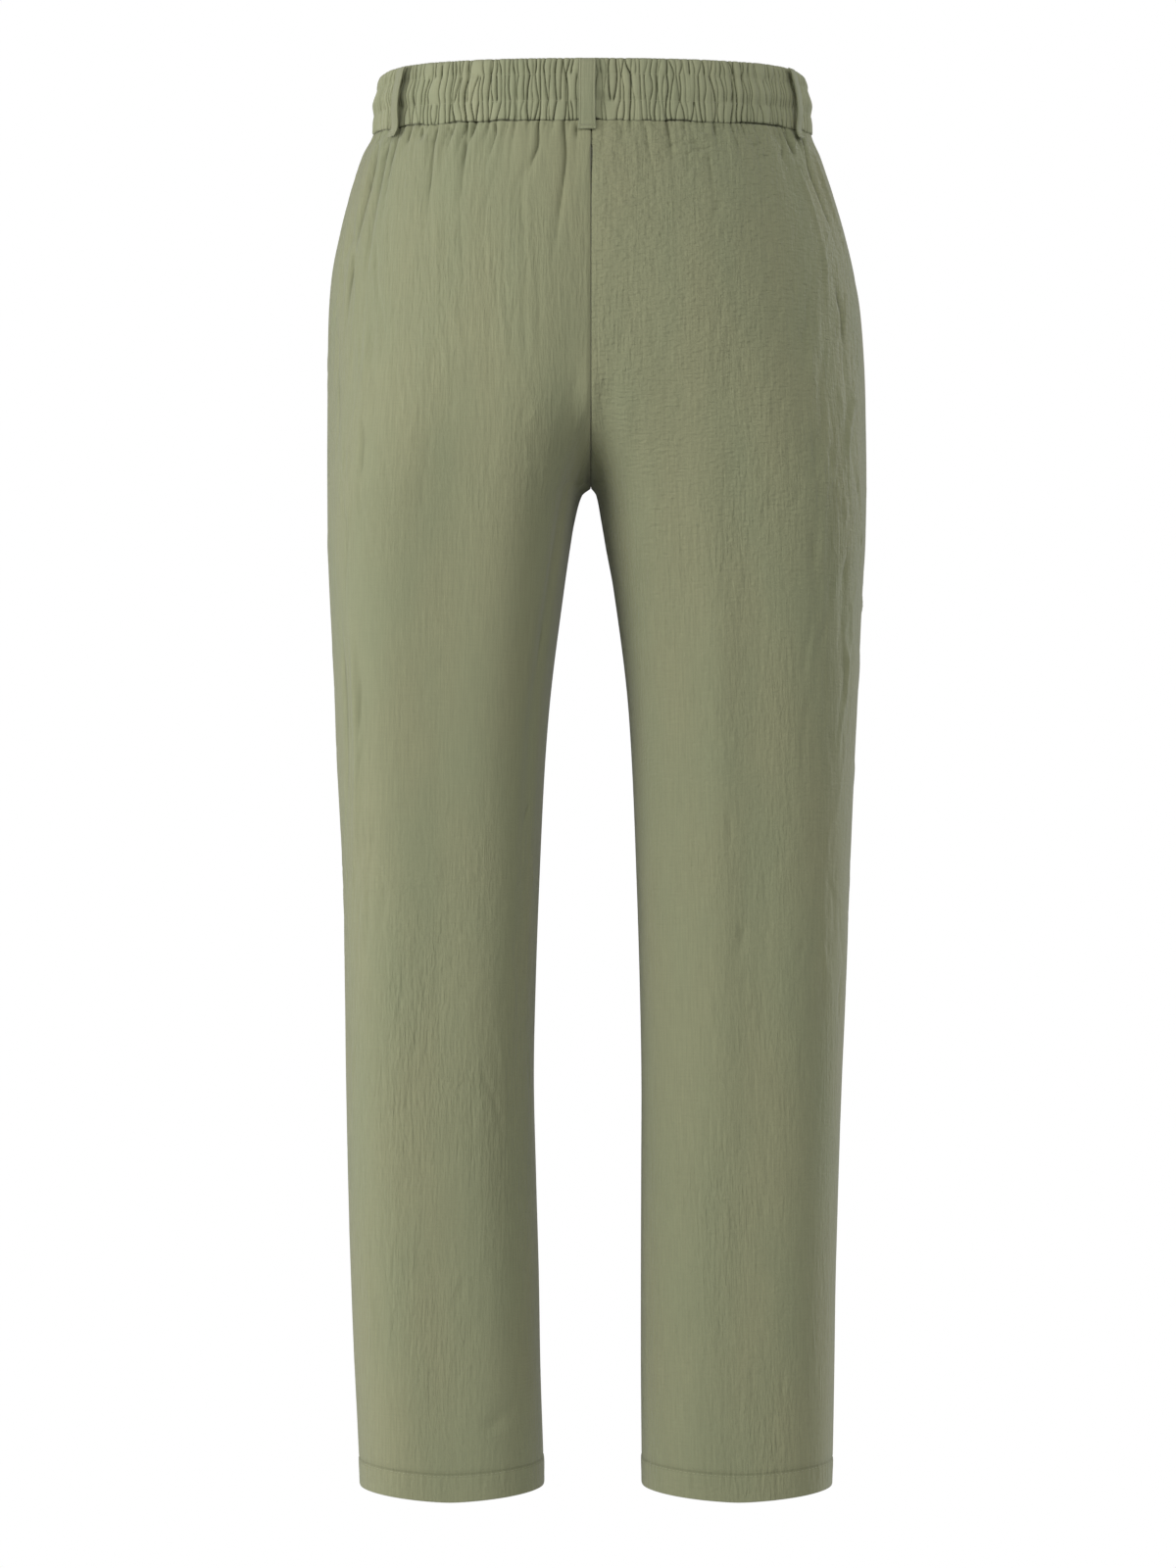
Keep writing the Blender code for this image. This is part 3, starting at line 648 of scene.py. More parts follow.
def add_panel(side, part, folds, scatters, seed):
    """One leg panel as a thin sheet on its worn form, with its folds, crinkle and hem."""
    waist = BAND_HEIGHT + SEAM_GAP / 2
    drops = np.concatenate([
        (waist, waist + 0.3, waist + 0.9),
        np.linspace(waist + 2, 110, 47),
        np.linspace(112.2, 285, 76),
        # The inner edge runs under the crotch ever faster, so the rows draw together there.
        SEAT_DROP + (CROTCH_DROP - SEAT_DROP) * np.sqrt(1 - np.linspace(0.59, 0.12, 12) ** 2),
        np.linspace(CROTCH_DROP, 330, 14),
        np.linspace(332.6, HEM_DROP - HEM_TURN - 1.5, 244),
        np.linspace(HEM_DROP - HEM_TURN - 0.5, HEM_DROP - 1.4, 13),
        (HEM_DROP - 0.7, HEM_DROP - 0.2, HEM_DROP),
    ])
    points, grains = worn_lines(side, part, drops)
    normals = outward_normals(points, part)
    inner, outer = grains[:, :1], grains[:, -1:]
    from_edge = np.minimum(grains - inner, outer - grains)
    # The distance in from the inner edge is counted straight across, as the edge runs under
    # the crotch there.
    aside = np.abs(points[:, :, 0])
    from_seam = np.minimum(3 * (aside - aside[:, :1]), outer - grains)
    across = (grains - inner) / (outer - inner)
    quarter = QUARTERS[side, part]
    if part == "back":
        girth_places = across * quarter
    else:
        girth_places = QUARTERS[side, "back"] + (1 - across) * quarter
    if side == "right":
        girth_places = -girth_places

    calm = eased(from_seam / SEAM_CALM)
    crinkled = np.interp(drops, CRINKLED_DROPS, CRINKLED[side, part])[:, None]
    held = HELD_SHARE + (1 - HELD_SHARE) * eased((drops - waist) / HELD_OVER)[:, None]
    relief = fold_relief(folds, points, grains, drops) * calm * held
    relief += gather_relief(girth_places, drops, seed)
    # Painted shade: the folds' and gathers' creases darken the colour by how deep they lie; the
    # scattered creases added below do not.
    painted_shade = crease_depth(relief, 0.9, 0.3)
    relief += fold_relief(scattered(scatters, seed), points, grains, drops) * calm * crinkled
    wander = WANDER * crinkle_noise(grains / WANDER_SIZE[0] + 7,
                                    drops[:, None] / WANDER_SIZE[1] + 3, seed)
    rough = crinkled * (0.9 + 0.7 * crinkle_noise(
        grains / ROUGH_SIZE[0], drops[:, None] / ROUGH_SIZE[1], seed + 50))
    for width, length, height, octave in CRINKLES:
        edge_hold = eased(from_seam / (width / 2))
        wave = crinkle_noise((grains + wander) / width, (drops[:, None] + 3 * wander) / length,
                             10 * seed + octave)
        relief += height * wave * edge_hold * (rough if width < 20 else 1)

    hem = eased((drops - (HEM_DROP - HEM_TURN - 1)) / 2)[:, None]
    stitched = np.exp(-((drops - (HEM_DROP - HEM_TURN)) / 1.0) ** 2)[:, None]
    pulls = crinkle_noise(grains / 4.0, grains * 0 + seed, seed + 90)
    relief = relief * (1 - 0.35 * hem) + HEM_STEP * hem - HEM_GROOVE * stitched
    # Painted shade along the hem's stitch line.
    painted_shade = np.maximum(painted_shade, 0.6 * stitched)
    from_pucker = (drops[:, None] - (HEM_DROP - HEM_PUCKER_RISE)) / HEM_PUCKER_OVER
    relief += HEM_PUCKER * pulls * np.exp(-from_pucker**2)

    def roll(distance):
        lack = np.clip(EDGE_ROLL - distance, 0, EDGE_ROLL)
        return EDGE_ROLL - np.sqrt(EDGE_ROLL**2 - lack**2)

    tight = 0.55 + 0.45 * crinkle_noise(girth_places[:1] / 7, girth_places[:1] * 0, seed + 70)
    turned = (roll(from_edge) + roll(drops - waist)[:, None] * tight
              + roll(HEM_DROP - drops)[:, None])
    sheet = points + normals * (relief - turned)[:, :, None]
    sheet[:, :, 2] = np.maximum(sheet[:, :, 2], -HEM_DROP)
    bow = np.abs(2 * (aside - aside[:, :1]) / (aside[:, -1:] - aside[:, :1]) - 1)
    low = between(drops, HEM_DROP - HEM_BOW_OVER, HEM_DROP)[:, None]
    sheet[:, :, 2] += HEM_BOW * low * np.clip(bow, 0, 1) ** HEM_BOW_POWER

    # The allowances turn in from the edges until they touch the next panel's, and the hem
    # turns up inside.
    inward = []
    for edge, beside in ((0, 1), (-1, -2)):
        onward = points[:, [edge]] - points[:, [beside]]
        onward *= SEAM_GAP / 2 / np.linalg.norm(onward, axis=2, keepdims=True)
        inward.append([sheet[:, [edge]] + onward - normals[:, [edge]] * depth
                       for depth in ALLOWANCE])
    for fold in inward[0]:
        fold[drops < CROTCH_DROP, 0, 0] = 0
    sheet = np.concatenate([*inward[0], sheet, *inward[1][::-1]], axis=1)
    normals = np.concatenate([normals[:, :1]] * 2 + [normals] + [normals[:, -1:]] * 2, axis=1)
    cloth = np.concatenate([*(inner - run for run in ALLOWANCE_RUN), grains,
                            *(outer + run for run in ALLOWANCE_RUN[::-1])], axis=1)
    lip = [sheet[0] - normals[0] * depth + np.array([0, 0, rise]) for depth, rise, _ in LIP]
    hem_inside = [sheet[-1] - normals[-1] * HEM_FOLD_DEPTH + np.array([0, 0, HEM_FOLD_RISE])]
    for rise in HEM_RISES:
        row = np.searchsorted(drops, HEM_DROP - rise)
        hem_inside.append(sheet[row] - normals[row] * HEM_INSIDE)
    stitch_row = sheet[np.searchsorted(drops, HEM_DROP - HEM_TURN)]
    sheet = np.concatenate([lip, sheet, hem_inside])
    cloth = np.concatenate([cloth[:1]] * 2 + [cloth] + [cloth[-1:]] * len(hem_inside))
    lengths = np.concatenate([[waist - run for *_, run in LIP], drops,
                              [HEM_DROP + HEM_FOLD_DEPTH],
                              HEM_DROP + 1 + np.array(HEM_RISES)])

    flat = np.dstack([cloth, np.broadcast_to(-lengths[:, None], cloth.shape)])
    piece = add_grid(f"{part}_panel_{side}", sheet, flat)
    if (side == "left") != (part == "front"):
        piece.data.flip_normals()
    # The painted shade is stored on each point for the material.
    for name, values in (("painted_shade_amount", painted_shade), ("crinkled", rough)):
        mark_points(piece, name, np.pad(values, ((2, len(hem_inside)), (2, 2)), mode="edge"))
    crossed = np.interp(lengths, CRINKLED_DROPS, CROSSED[side, part])
    mark_points(piece, "crossed", np.repeat(crossed, sheet.shape[1]))
    piece.data.update()
    finish(piece, panel_linen)
    return piece, stitch_row


def add_node(tree, kind, inputs=None, **settings):
    """Add a node, set what it is told, and fill its inputs: a socket is linked in."""
    made = tree.nodes.new(kind)
    for name, value in settings.items():
        setattr(made, name, value)
    for name, value in (inputs or {}).items():
        if isinstance(value, bpy.types.NodeSocket):
            tree.links.new(value, made.inputs[name])
        else:
            made.inputs[name].default_value = value
    return made


def colour(code):
    """An sRGB hex colour as linear light, with full alpha."""
    shares = [int(code[place:place + 2], 16) / 255 for place in (1, 3, 5)]
    return [share / 12.92 if share <= 0.04045 else ((share + 0.055) / 1.055) ** 2.4
            for share in shares] + [1.0]


def crinkled_linen(name, dark_tone, light_tone, crinkle_height, crease_shade):
    """Washed, crinkled linen: matt, a little hairy, with slubs along both threads.

    Its fine pleats lie 2 to 3 mm apart. The real threads lie 0.4 mm apart, which is too
    fine to show, so the weave is drawn at 0.9 mm.
    """
    material = bpy.data.materials.new(name)
    material.use_nodes = True
    tree = material.node_tree
    shader = tree.nodes["Principled BSDF"]
    place = add_node(tree, "ShaderNodeTexCoord").outputs["UV"]

    def noise(across, along, detail):
        scale = (1000 / across, 1000 / along, 1)
        lattice = add_node(tree, "ShaderNodeMapping", {"Vector": place, "Scale": scale})
        made = add_node(tree, "ShaderNodeTexNoise", {
            "Vector": lattice.outputs["Vector"], "Scale": 1.0, "Detail": detail})
        return made.outputs["Fac"]

    def sum_of(first, first_share, second, second_share):
        scaled = add_node(tree, "ShaderNodeMath", {0: first, 1: first_share},
                          operation="MULTIPLY")
        return add_node(tree, "ShaderNodeMath", {
            0: second, 1: second_share, 2: scaled.outputs[0]},
            operation="MULTIPLY_ADD").outputs[0]

    def thin_lines(across, along, width):
        # A line runs wherever the noise crosses its middle value.
        off_middle = add_node(tree, "ShaderNodeMath", {
            0: noise(across, along, 1), 1: 0.5}, operation="SUBTRACT")
        distance = add_node(tree, "ShaderNodeMath", {0: off_middle.outputs[0]},
                            operation="ABSOLUTE")
        return add_node(tree, "ShaderNodeMapRange", {
            "Value": distance.outputs[0], "From Max": width, "To Min": 1.0, "To Max": 0.0},
            interpolation_type="SMOOTHSTEP").outputs["Result"]

    crinkled = add_node(tree, "ShaderNodeAttribute", attribute_name="crinkled").outputs["Fac"]
    # Thin crinkle lines: grooves in the bump below, and also painted shade that darkens the colour a
    # little.
    lines = sum_of(thin_lines(8, 60, 0.03), 0.6, thin_lines(5, 26, 0.03), 0.4)
    broken = add_node(tree, "ShaderNodeMapRange", {
        "Value": noise(13, 55, 1), "From Min": 0.42, "From Max": 0.6})
    lines = add_node(tree, "ShaderNodeMath", {0: lines, 1: broken.outputs["Result"]},
                     operation="MULTIPLY").outputs[0]
    lines = add_node(tree, "ShaderNodeMath", {0: lines, 1: crinkled},
                     operation="MULTIPLY").outputs[0]

    slubs = sum_of(noise(1.1, 30, 2), 0.8, noise(24, 1.2, 1), 0.2)
    tones = add_node(tree, "ShaderNodeValToRGB", {"Fac": slubs})
    tones.color_ramp.elements[0].position = 0.36
    tones.color_ramp.elements[0].color = colour(dark_tone)
    tones.color_ramp.elements[1].position = 0.64
    tones.color_ramp.elements[1].color = colour(light_tone)
    patches = add_node(tree, "ShaderNodeMapRange", {
        "Value": noise(55, 150, 2), "From Min": 0.35, "From Max": 0.65,
        "To Min": 0.0, "To Max": 0.45})
    tinted = add_node(tree, "ShaderNodeMix", {
        "Factor": patches.outputs["Result"], "A": tones.outputs["Color"],
        "B": colour("#8a9172")}, data_type="RGBA")
    # Painted shade: the colour is mixed towards a dark shade colour by the painted shade amount
    # stored on each point, times crease_shade, and a little by the thin lines.
    painted_shade_amount = add_node(tree, "ShaderNodeAttribute", attribute_name="painted_shade_amount").outputs["Fac"]
    shade = sum_of(lines, 0.06, painted_shade_amount, crease_shade)
    painted_shade = add_node(tree, "ShaderNodeMix", {
        "Factor": shade, "A": tinted.outputs["Result"], "B": colour("#4d4f33")},
        data_type="RGBA")
    tree.links.new(painted_shade.outputs["Result"], shader.inputs["Base Color"])

    pleats = sum_of(noise(2.8, 24, 2), 0.6, noise(2.1, 8, 2), 0.4)
    pleats = add_node(tree, "ShaderNodeMath", {0: pleats, 1: crinkled},
                      operation="MULTIPLY").outputs[0]
    crossed = add_node(tree, "ShaderNodeAttribute", attribute_name="crossed").outputs["Fac"]
    crosses = sum_of(noise(7, 2.3, 2), 0.55, noise(3.6, 2.8, 2), 0.45)
    crosses = add_node(tree, "ShaderNodeMath", {0: crosses, 1: crossed},
                       operation="MULTIPLY").outputs[0]
    pleats = sum_of(crosses, 1.6, pleats, 1.0)
    threads = sum_of(noise(0.9, 9, 1), 0.7, noise(6, 0.9, 1), 0.3)
    relief = sum_of(pleats, crinkle_height * MM, threads, 0.09 * MM)
    relief = sum_of(lines, -0.16 * MM, relief, 1.0)
    bump = add_node(tree, "ShaderNodeBump", {"Strength": 1.0, "Distance": 1.0,
                                             "Height": relief})
    tree.links.new(bump.outputs["Normal"], shader.inputs["Normal"])
    shader.inputs["Roughness"].default_value = 0.88
    shader.inputs["IOR"].default_value = 1.45
    shader.inputs["Specular IOR Level"].default_value = 0.35
    shader.inputs["Sheen Weight"].default_value = 0.25
    shader.inputs["Sheen Roughness"].default_value = 0.5
    return material


panel_linen = crinkled_linen("crinkled_linen", "#8e8f70", "#969776", 1.2, 0.6)

hem_lines = {}
for panel_side, panel_folds, panel_scatters, panel_seed in (
        ("left", BACK_LEFT_FOLDS, BACK_LEFT_SCATTERS, 3),
        ("right", BACK_RIGHT_FOLDS, BACK_RIGHT_SCATTERS, 4)):
    panel, hem_lines["back", panel_side] = add_panel(
        panel_side, "back", panel_folds, panel_scatters, panel_seed)
    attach(panel, "root")
    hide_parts(f"back_{panel_side}")

# ---------------------------------------------------------------------------------------
# The front panels. Cut like the backs but flatter over the seat, they meet at a plain
# centre front seam, and creases fan out from the crotch where the wearer sits.
# ---------------------------------------------------------------------------------------

FRONT_LEFT_FOLDS = [Fold(*row) for row in (
    (2.4, -2.2, 1, [(76, 46), (80, 62), (84, 96)]),
    (2.0, -1.6, 1, [(92, 46), (95, 70)]),
    (2.2, -2.2, 1, [(106, 46), (110, 78), (116, 128)]),
    (2.0, -1.2, 1, [(119, 46), (124, 66), (128, 88)]),
    (2.6, -2.4, 1, [(136, 46), (143, 70), (151, 112)]),
    (3.2, 1.2, 0, [(146, 50), (157, 90), (167, 150)]),
    (3.4, -2.0, 1, [(152, 46), (160, 76), (168, 108)]),
    (5.0, 1.3, 0, [(172, 150), (176, 220), (172, 300), (170, 350)]),
    (5.0, -1.2, 0, [(160, 190), (162, 260), (158, 330)]),
    (6.5, -1.9, 0, [(4, 240), (30, 268), (76, 300)]),
    (6.0, 1.4, 0, [(4, 222), (38, 246), (88, 266)]),
    (5.5, -1.4, 0, [(6, 270), (26, 304), (54, 352)]),
    (5.0, -0.9, 0, [(8, 198), (46, 214), (92, 224)]),
    (11.0, 1.7, 0, [(100, 380), (104, 560), (104, 780), (100, 1005)]),
    (13.0, -1.4, 0, [(70, 400), (72, 600), (72, 820), (70, 980)]),
    (4.5, -0.9, 0, [(54, 532), (84, 550), (122, 560)]),
    (4.5, -0.8, 0, [(150, 566), (118, 584), (84, 594)]),
    (4.0, -0.7, 0, [(48, 594), (78, 630)]),
    (4.0, 0.9, 0, [(160, 420), (164, 520), (166, 620)]),
    (3.0, -0.7, 0, [(150, 700), (146, 780), (150, 860)]),
)]
FRONT_RIGHT_FOLDS = [Fold(*row) for row in (
    (2.2, -1.9, 1, [(72, 46), (75, 66), (76, 90)]),
    (2.0, -1.5, 1, [(86, 46), (90, 66)]),
    (2.4, -2.4, 1, [(99, 46), (104, 80), (110, 138)]),
    (2.0, -1.4, 1, [(115, 46), (119, 60)]),
    (2.2, -1.8, 1, [(128, 46), (134, 72), (141, 100)]),
    (2.6, -2.2, 1, [(144, 46), (153, 78), (162, 124)]),
    (3.0, 1.3, 0, [(150, 48), (162, 92), (174, 160)]),
    (3.4, -1.8, 1, [(158, 46), (168, 84), (178, 130)]),
    (5.0, 1.2, 0, [(176, 170), (182, 240), (180, 320)]),
    (6.5, -1.8, 0, [(4, 248), (36, 276), (84, 314)]),
    (6.0, 1.3, 0, [(4, 228), (42, 252), (96, 280)]),
    (5.5, -1.3, 0, [(6, 280), (24, 310), (48, 358)]),
    (5.0, -0.8, 0, [(8, 206), (50, 222), (98, 230)]),
    (11.0, 1.7, 0, [(102, 390), (106, 570), (106, 790), (104, 1005)]),
    (13.0, -1.4, 0, [(140, 420), (140, 600), (136, 800), (134, 980)]),
    (4.5, -0.9, 0, [(158, 540), (126, 558), (90, 566)]),
    (4.5, -0.8, 0, [(54, 562), (84, 580), (116, 588)]),
    (4.0, -0.7, 0, [(128, 598), (98, 634)]),
    (4.0, 0.9, 0, [(172, 430), (174, 530), (172, 630)]),
    (3.0, -0.7, 0, [(60, 720), (64, 800), (60, 880)]),
)]
FRONT_SCATTERS = [
    EVERYWHERE,
    Scatter(70, 180, 60, 240, 50, 60, 4, 2.4, 0.35),
    Scatter(8, 90, 210, 330, 30, 30, 50, 2.4, 0.28),
    Scatter(30, 165, 530, 660, 60, 24, 24, 2.4, 0.25),
    Scatter(40, 160, 680, 990, 90, 34, 5, 2.4, 0.22),
]

for panel_side, panel_folds, panel_seed in (
        ("left", FRONT_LEFT_FOLDS, 5), ("right", FRONT_RIGHT_FOLDS, 6)):
    panel, hem_lines["front", panel_side] = add_panel(
        panel_side, "front", panel_folds, FRONT_SCATTERS, panel_seed)
    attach(panel, "root")
    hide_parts(f"front_{panel_side}")

# ---------------------------------------------------------------------------------------
# The waistband. A folded band of the same linen, with two rows of stitching that make
# three tunnels for the elastic, which draws it into uneven ruches. Its ends meet under the
# centre back loop.
# ---------------------------------------------------------------------------------------

BAND_COLUMNS = 1950
ROW_DROPS = (12.0, 31.0)
BAND_FOOT = BAND_HEIGHT - SEAM_GAP / 2
# The outer face: drop, how far it stands out, and how much the ruches are held flat.
BAND_FACE = np.array([
    (0.3, -0.9, 0.5),
    (1.4, 0.2, 0.3),
    (6.5, 1.1, 0.0),
    (10.4, 0.8, 0.0),
    (12.0, 0.5, 0.1),
    (13.6, 0.9, 0.0),
    (22.5, 2.6, 0.0),
    (29.2, 1.1, 0.0),
    (31.0, 0.6, 0.1),
    (32.8, 0.9, 0.0),
    (38.0, 1.4, 0.0),
    (43.6, 1.0, 0.0),
    (BAND_FOOT, 0.5, 0.1),
])
BAND_INSIDE = -3.0
# The foot hangs over the waist seam in uneven steps that set in at this drop, and the top
# edge dips at the sides, down to this drop.
FOOT_STEP = 0.8
FOOT_STEP_FROM = 36.0
SIDE_DIP = 3.2
SIDE_DIP_TO = 14.0
# The puckers pull the two long edges unevenly towards the middle tunnel, by a share of
# their depth that sets in and is full at these distances from its middle.
BAND_MIDDLE = sum(ROW_DROPS) / 2
EDGE_PULL = 0.45
EDGE_PULL_AWAY = (12.8, 20.8)
# So much cloth is gathered into each length of the band.
BAND_FULLNESS = 1.5
TUNNEL_EDGES = (0.0, 12.0, 31.0, 46.0)
# Across a row of stitches the ruches of two tunnels run into each other over this height.
ROW_BLEND = 4.0


def waist_form(turn, drop, stand_out):
    """A point round the waist at a turn from the centre back, and its outward normal."""
    left_out, right_out, back, front = smooth_rows(SECTIONS, np.atleast_1d(drop))
    across, along = np.sin(turn), np.cos(turn)
    half = np.where(across > 0, left_out, right_out)
    depth = np.where(along > 0, back, front)
    power = 2 / SQUARENESS
    x = half * np.sign(across) * np.abs(across) ** power
    y = depth * np.sign(along) * np.abs(along) ** power
    normal = np.stack([np.sign(across) * np.abs(across) ** (2 - power) / half,
                       np.sign(along) * np.abs(along) ** (2 - power) / depth])
    normal /= np.linalg.norm(normal, axis=0)
    return np.stack([x, y]) + normal * stand_out, normal


# Turns that lie evenly round the girth at the waist seam, and each one's girth place.
fine_turns = np.linspace(-math.pi, math.pi, 8001)
fine_line, _ = waist_form(fine_turns, BAND_HEIGHT, 0.0)
fine_arc = running_length(np.hypot(*np.diff(fine_line, axis=1)))
fine_arc -= np.interp(0, fine_turns, fine_arc)


def turn_at(girth_place):
    """The turn from the centre back at a place on the girth."""
    return np.interp(girth_place, fine_arc, fine_turns)


def band_relief(girth_places, drop):
    """How far the ruches draw the band in at one drop."""
    tunnel = min(max(np.searchsorted(TUNNEL_EDGES, drop) - 1, 0), 2)
    share = (drop - TUNNEL_EDGES[tunnel]) / (TUNNEL_EDGES[tunnel + 1] - TUNNEL_EDGES[tunnel])
    places = ((1 - share) * pucker_places[:, tunnel] + share * pucker_places[:, tunnel + 1]
              + pucker_bows[:, tunnel] * math.sin(math.pi * share))
    into = eased(0.5 + (drop - np.array(ROW_DROPS)) / ROW_BLEND)
    blend = (1 - into[0], into[0] * (1 - into[1]), into[1])
    strengths = pucker_strengths @ blend
    order = np.argsort(places)
    places, strengths = places[order], strengths[order]
    after = np.searchsorted(places, girth_places)
    relief = np.zeros(girth_places.shape)
    for step in (-3, -2, -1, 0, 1, 2):
        each = after + step
        known = (each >= 0) & (each < len(places))
        each = np.clip(each, 0, len(places) - 1)
        away = np.abs(girth_places - places[each])
        profile = ((1 - SHOULDER_SHARE) * np.exp(-away / PUCKER_WIDTH)
                   + SHOULDER_SHARE * np.exp(-away / SHOULDER_WIDTH))
        relief -= PUCKER_DEPTH * strengths[each] * known * profile
    return relief


def join_edges(piece, reach):
    """Join the edges that lie within a reach in metres, close the ends and face it out."""
    bpy.ops.object.mode_set(mode="EDIT")
    bpy.ops.mesh.select_all(action="SELECT")
    bpy.ops.mesh.remove_doubles(threshold=reach)
    bpy.ops.mesh.fill_holes(sides=0)
    bpy.ops.mesh.normals_make_consistent(inside=False)
    bpy.ops.object.mode_set(mode="OBJECT")


girth_places = np.linspace(fine_arc[0], fine_arc[-1], BAND_COLUMNS)
# The band's ends meet at the centre back, so its columns start and end there.
start_column = int(np.argmin(np.abs(girth_places)))
band_turns = turn_at(girth_places)
face_drops = np.linspace(BAND_FACE[0, 0], BAND_FOOT, 37)
stand_outs, held_flat = smooth_rows(BAND_FACE, face_drops)
outline = [(drop, stand, 1 - flat) for drop, stand, flat
           in zip(face_drops, stand_outs, held_flat)]
outline += [(BAND_FOOT, -1.0, 0.4), (BAND_FOOT - 0.1, -2.2, 0.2)]
outline += [(drop, BAND_INSIDE, -0.25) for drop in np.linspace(BAND_FOOT - 1, 2.0, 2)]
outline += [(0.7, -2.5, 0.1), (0.1, -1.7, 0.3)]
soft_wave = crinkle_noise(girth_places / 9.0, girth_places * 0 + 0.5, 71)
foot_steps = np.clip(2.5 * crinkle_noise(girth_places / 15, girth_places * 0 + 0.5, 72), -1, 1)
side_dips = np.abs(np.sin(band_turns)) ** 14
rows, reliefs = [], []
for drop, stand, ruched in outline:
    relief = band_relief(girth_places, min(max(drop, 0.3), BAND_FOOT)) * ruched
    ripple = 0.2 * soft_wave * abs(ruched)
    line, _ = waist_form(band_turns, drop, stand + relief + ripple)
    pull = EDGE_PULL * np.abs(relief) * between(abs(drop - BAND_MIDDLE), *EDGE_PULL_AWAY)
    pull = pull * np.sign(BAND_MIDDLE - drop)
    step = FOOT_STEP * foot_steps * between(drop, FOOT_STEP_FROM, BAND_HEIGHT)
    dip = SIDE_DIP * side_dips * (1 - between(drop, 0, SIDE_DIP_TO))
    rows.append(np.column_stack([line.T, -drop - pull - step - dip]))
    reliefs.append(relief)
order = np.concatenate([np.arange(start_column, BAND_COLUMNS),
                        np.arange(1, start_column + 1)])
rows.append(rows[0])
reliefs.append(reliefs[0])
band_points, band_reliefs = np.array(rows)[:, order], np.array(reliefs)[:, order]

band_girth = np.arange(band_points.shape[1]) * (girth_places[1] - girth_places[0])
outline_length = running_length(
    np.linalg.norm(np.diff(band_points, axis=0), axis=2).min(axis=1))
band_flat = np.dstack(np.broadcast_arrays(band_girth[None, :] * BAND_FULLNESS,
                                          -outline_length[:, None]))
waistband = add_grid("waistband_gathered", band_points, band_flat)
# Painted shade in the ruche valleys, darkening the band's colour.
mark_points(waistband, "painted_shade_amount", crease_depth(band_reliefs, 0.8, 0.1))
mark_points(waistband, "crinkled", np.ones(band_reliefs.shape))
join_edges(waistband, 0.00001)
# The band's linen tones are painted lighter than the panels', to offset the shade in its ruches, and
# its creases take the full painted shade.
finish(waistband, crinkled_linen("gathered_linen", "#9a9c7c", "#a5a786", 0.5, 1.0))
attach(waistband, "root")
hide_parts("waistband")

# ---------------------------------------------------------------------------------------
# The belt loops. Five narrow strips of the same linen, folded in three and edge-stitched,
# caught in the band's top edge and tacked down just below the waist seam.
# ---------------------------------------------------------------------------------------

LOOP_WIDTH = 12.0
LOOP_WALL = 1.5
LOOP_ROWS = 64
# A strip sways a little, flares at its foot from this share of its length on, and sinks
# at its top as it is twisted. The strips are cut one beside the other, so far apart.
LOOP_SWAY = 0.25
LOOP_FLARE = 0.1
LOOP_FLARE_FROM = 0.84
LOOP_SINK = 4.0
LOOP_SPACING = 40.0
# The folded strip's cross-section, face first: a share of its half width and of its half
# wall. Edge stitching sinks into the face beside each edge.
LOOP_FACE = ((-0.96, 0.75), (-0.88, 1.0), (-0.79, 1.0), (-0.74, 0.72), (-0.69, 0.72),
             (-0.64, 1.0), (-0.4, 1.05), (0.0, 1.1))
LOOP_SECTION = np.array(
    [(-1.0, 0.0), *LOOP_FACE, *((-x, rise) for x, rise in LOOP_FACE[-2::-1]),
     (1.0, 0.0), (0.96, -0.75), (0.8, -1.0), (0.0, -1.0), (-0.8, -1.0), (-0.96, -0.75),
     (-1.0, 0.0)])
# Drop, how far the strip's middle stands out, and its share of the loop's slack.
LOOP_LINE = np.array([
    (0.6, 1.0, 0.0),
    (4.0, 2.15, 0.3),
    (9.5, 2.3, 0.7),
    (15.0, 2.6, 1.0),
    (21.5, 3.0, 1.0),
    (30.0, 2.8, 1.0),
    (38.0, 2.3, 0.8),
    (43.0, 1.8, 0.4),
    (47.0, 1.4, 0.0),
    (52.0, 1.25, 0.0),
])
# Turn in degrees from the centre back, slack, how far the foot leans along the girth, and
# the twist in degrees that lifts the edge nearer the centre plane off the band.
Loop = namedtuple("Loop", "name turn slack lean twist")
LOOPS = [Loop(*row) for row in (
    ("loop_centre_back", 0.5, 1.8, 0.6, 0),
    ("loop_left", 58.0, 1.0, 2.6, 16),
    ("loop_right", -64.0, 1.4, -1.5, -14),
    ("loop_front_left", 140.0, 1.2, 0.4, 0),
    ("loop_front_right", -140.0, 1.2, -0.5, 0),
)]


def girth_at(degrees):
    """The place on the girth at a turn in degrees from the centre back."""
    return np.interp(math.radians(degrees), fine_turns, fine_arc)
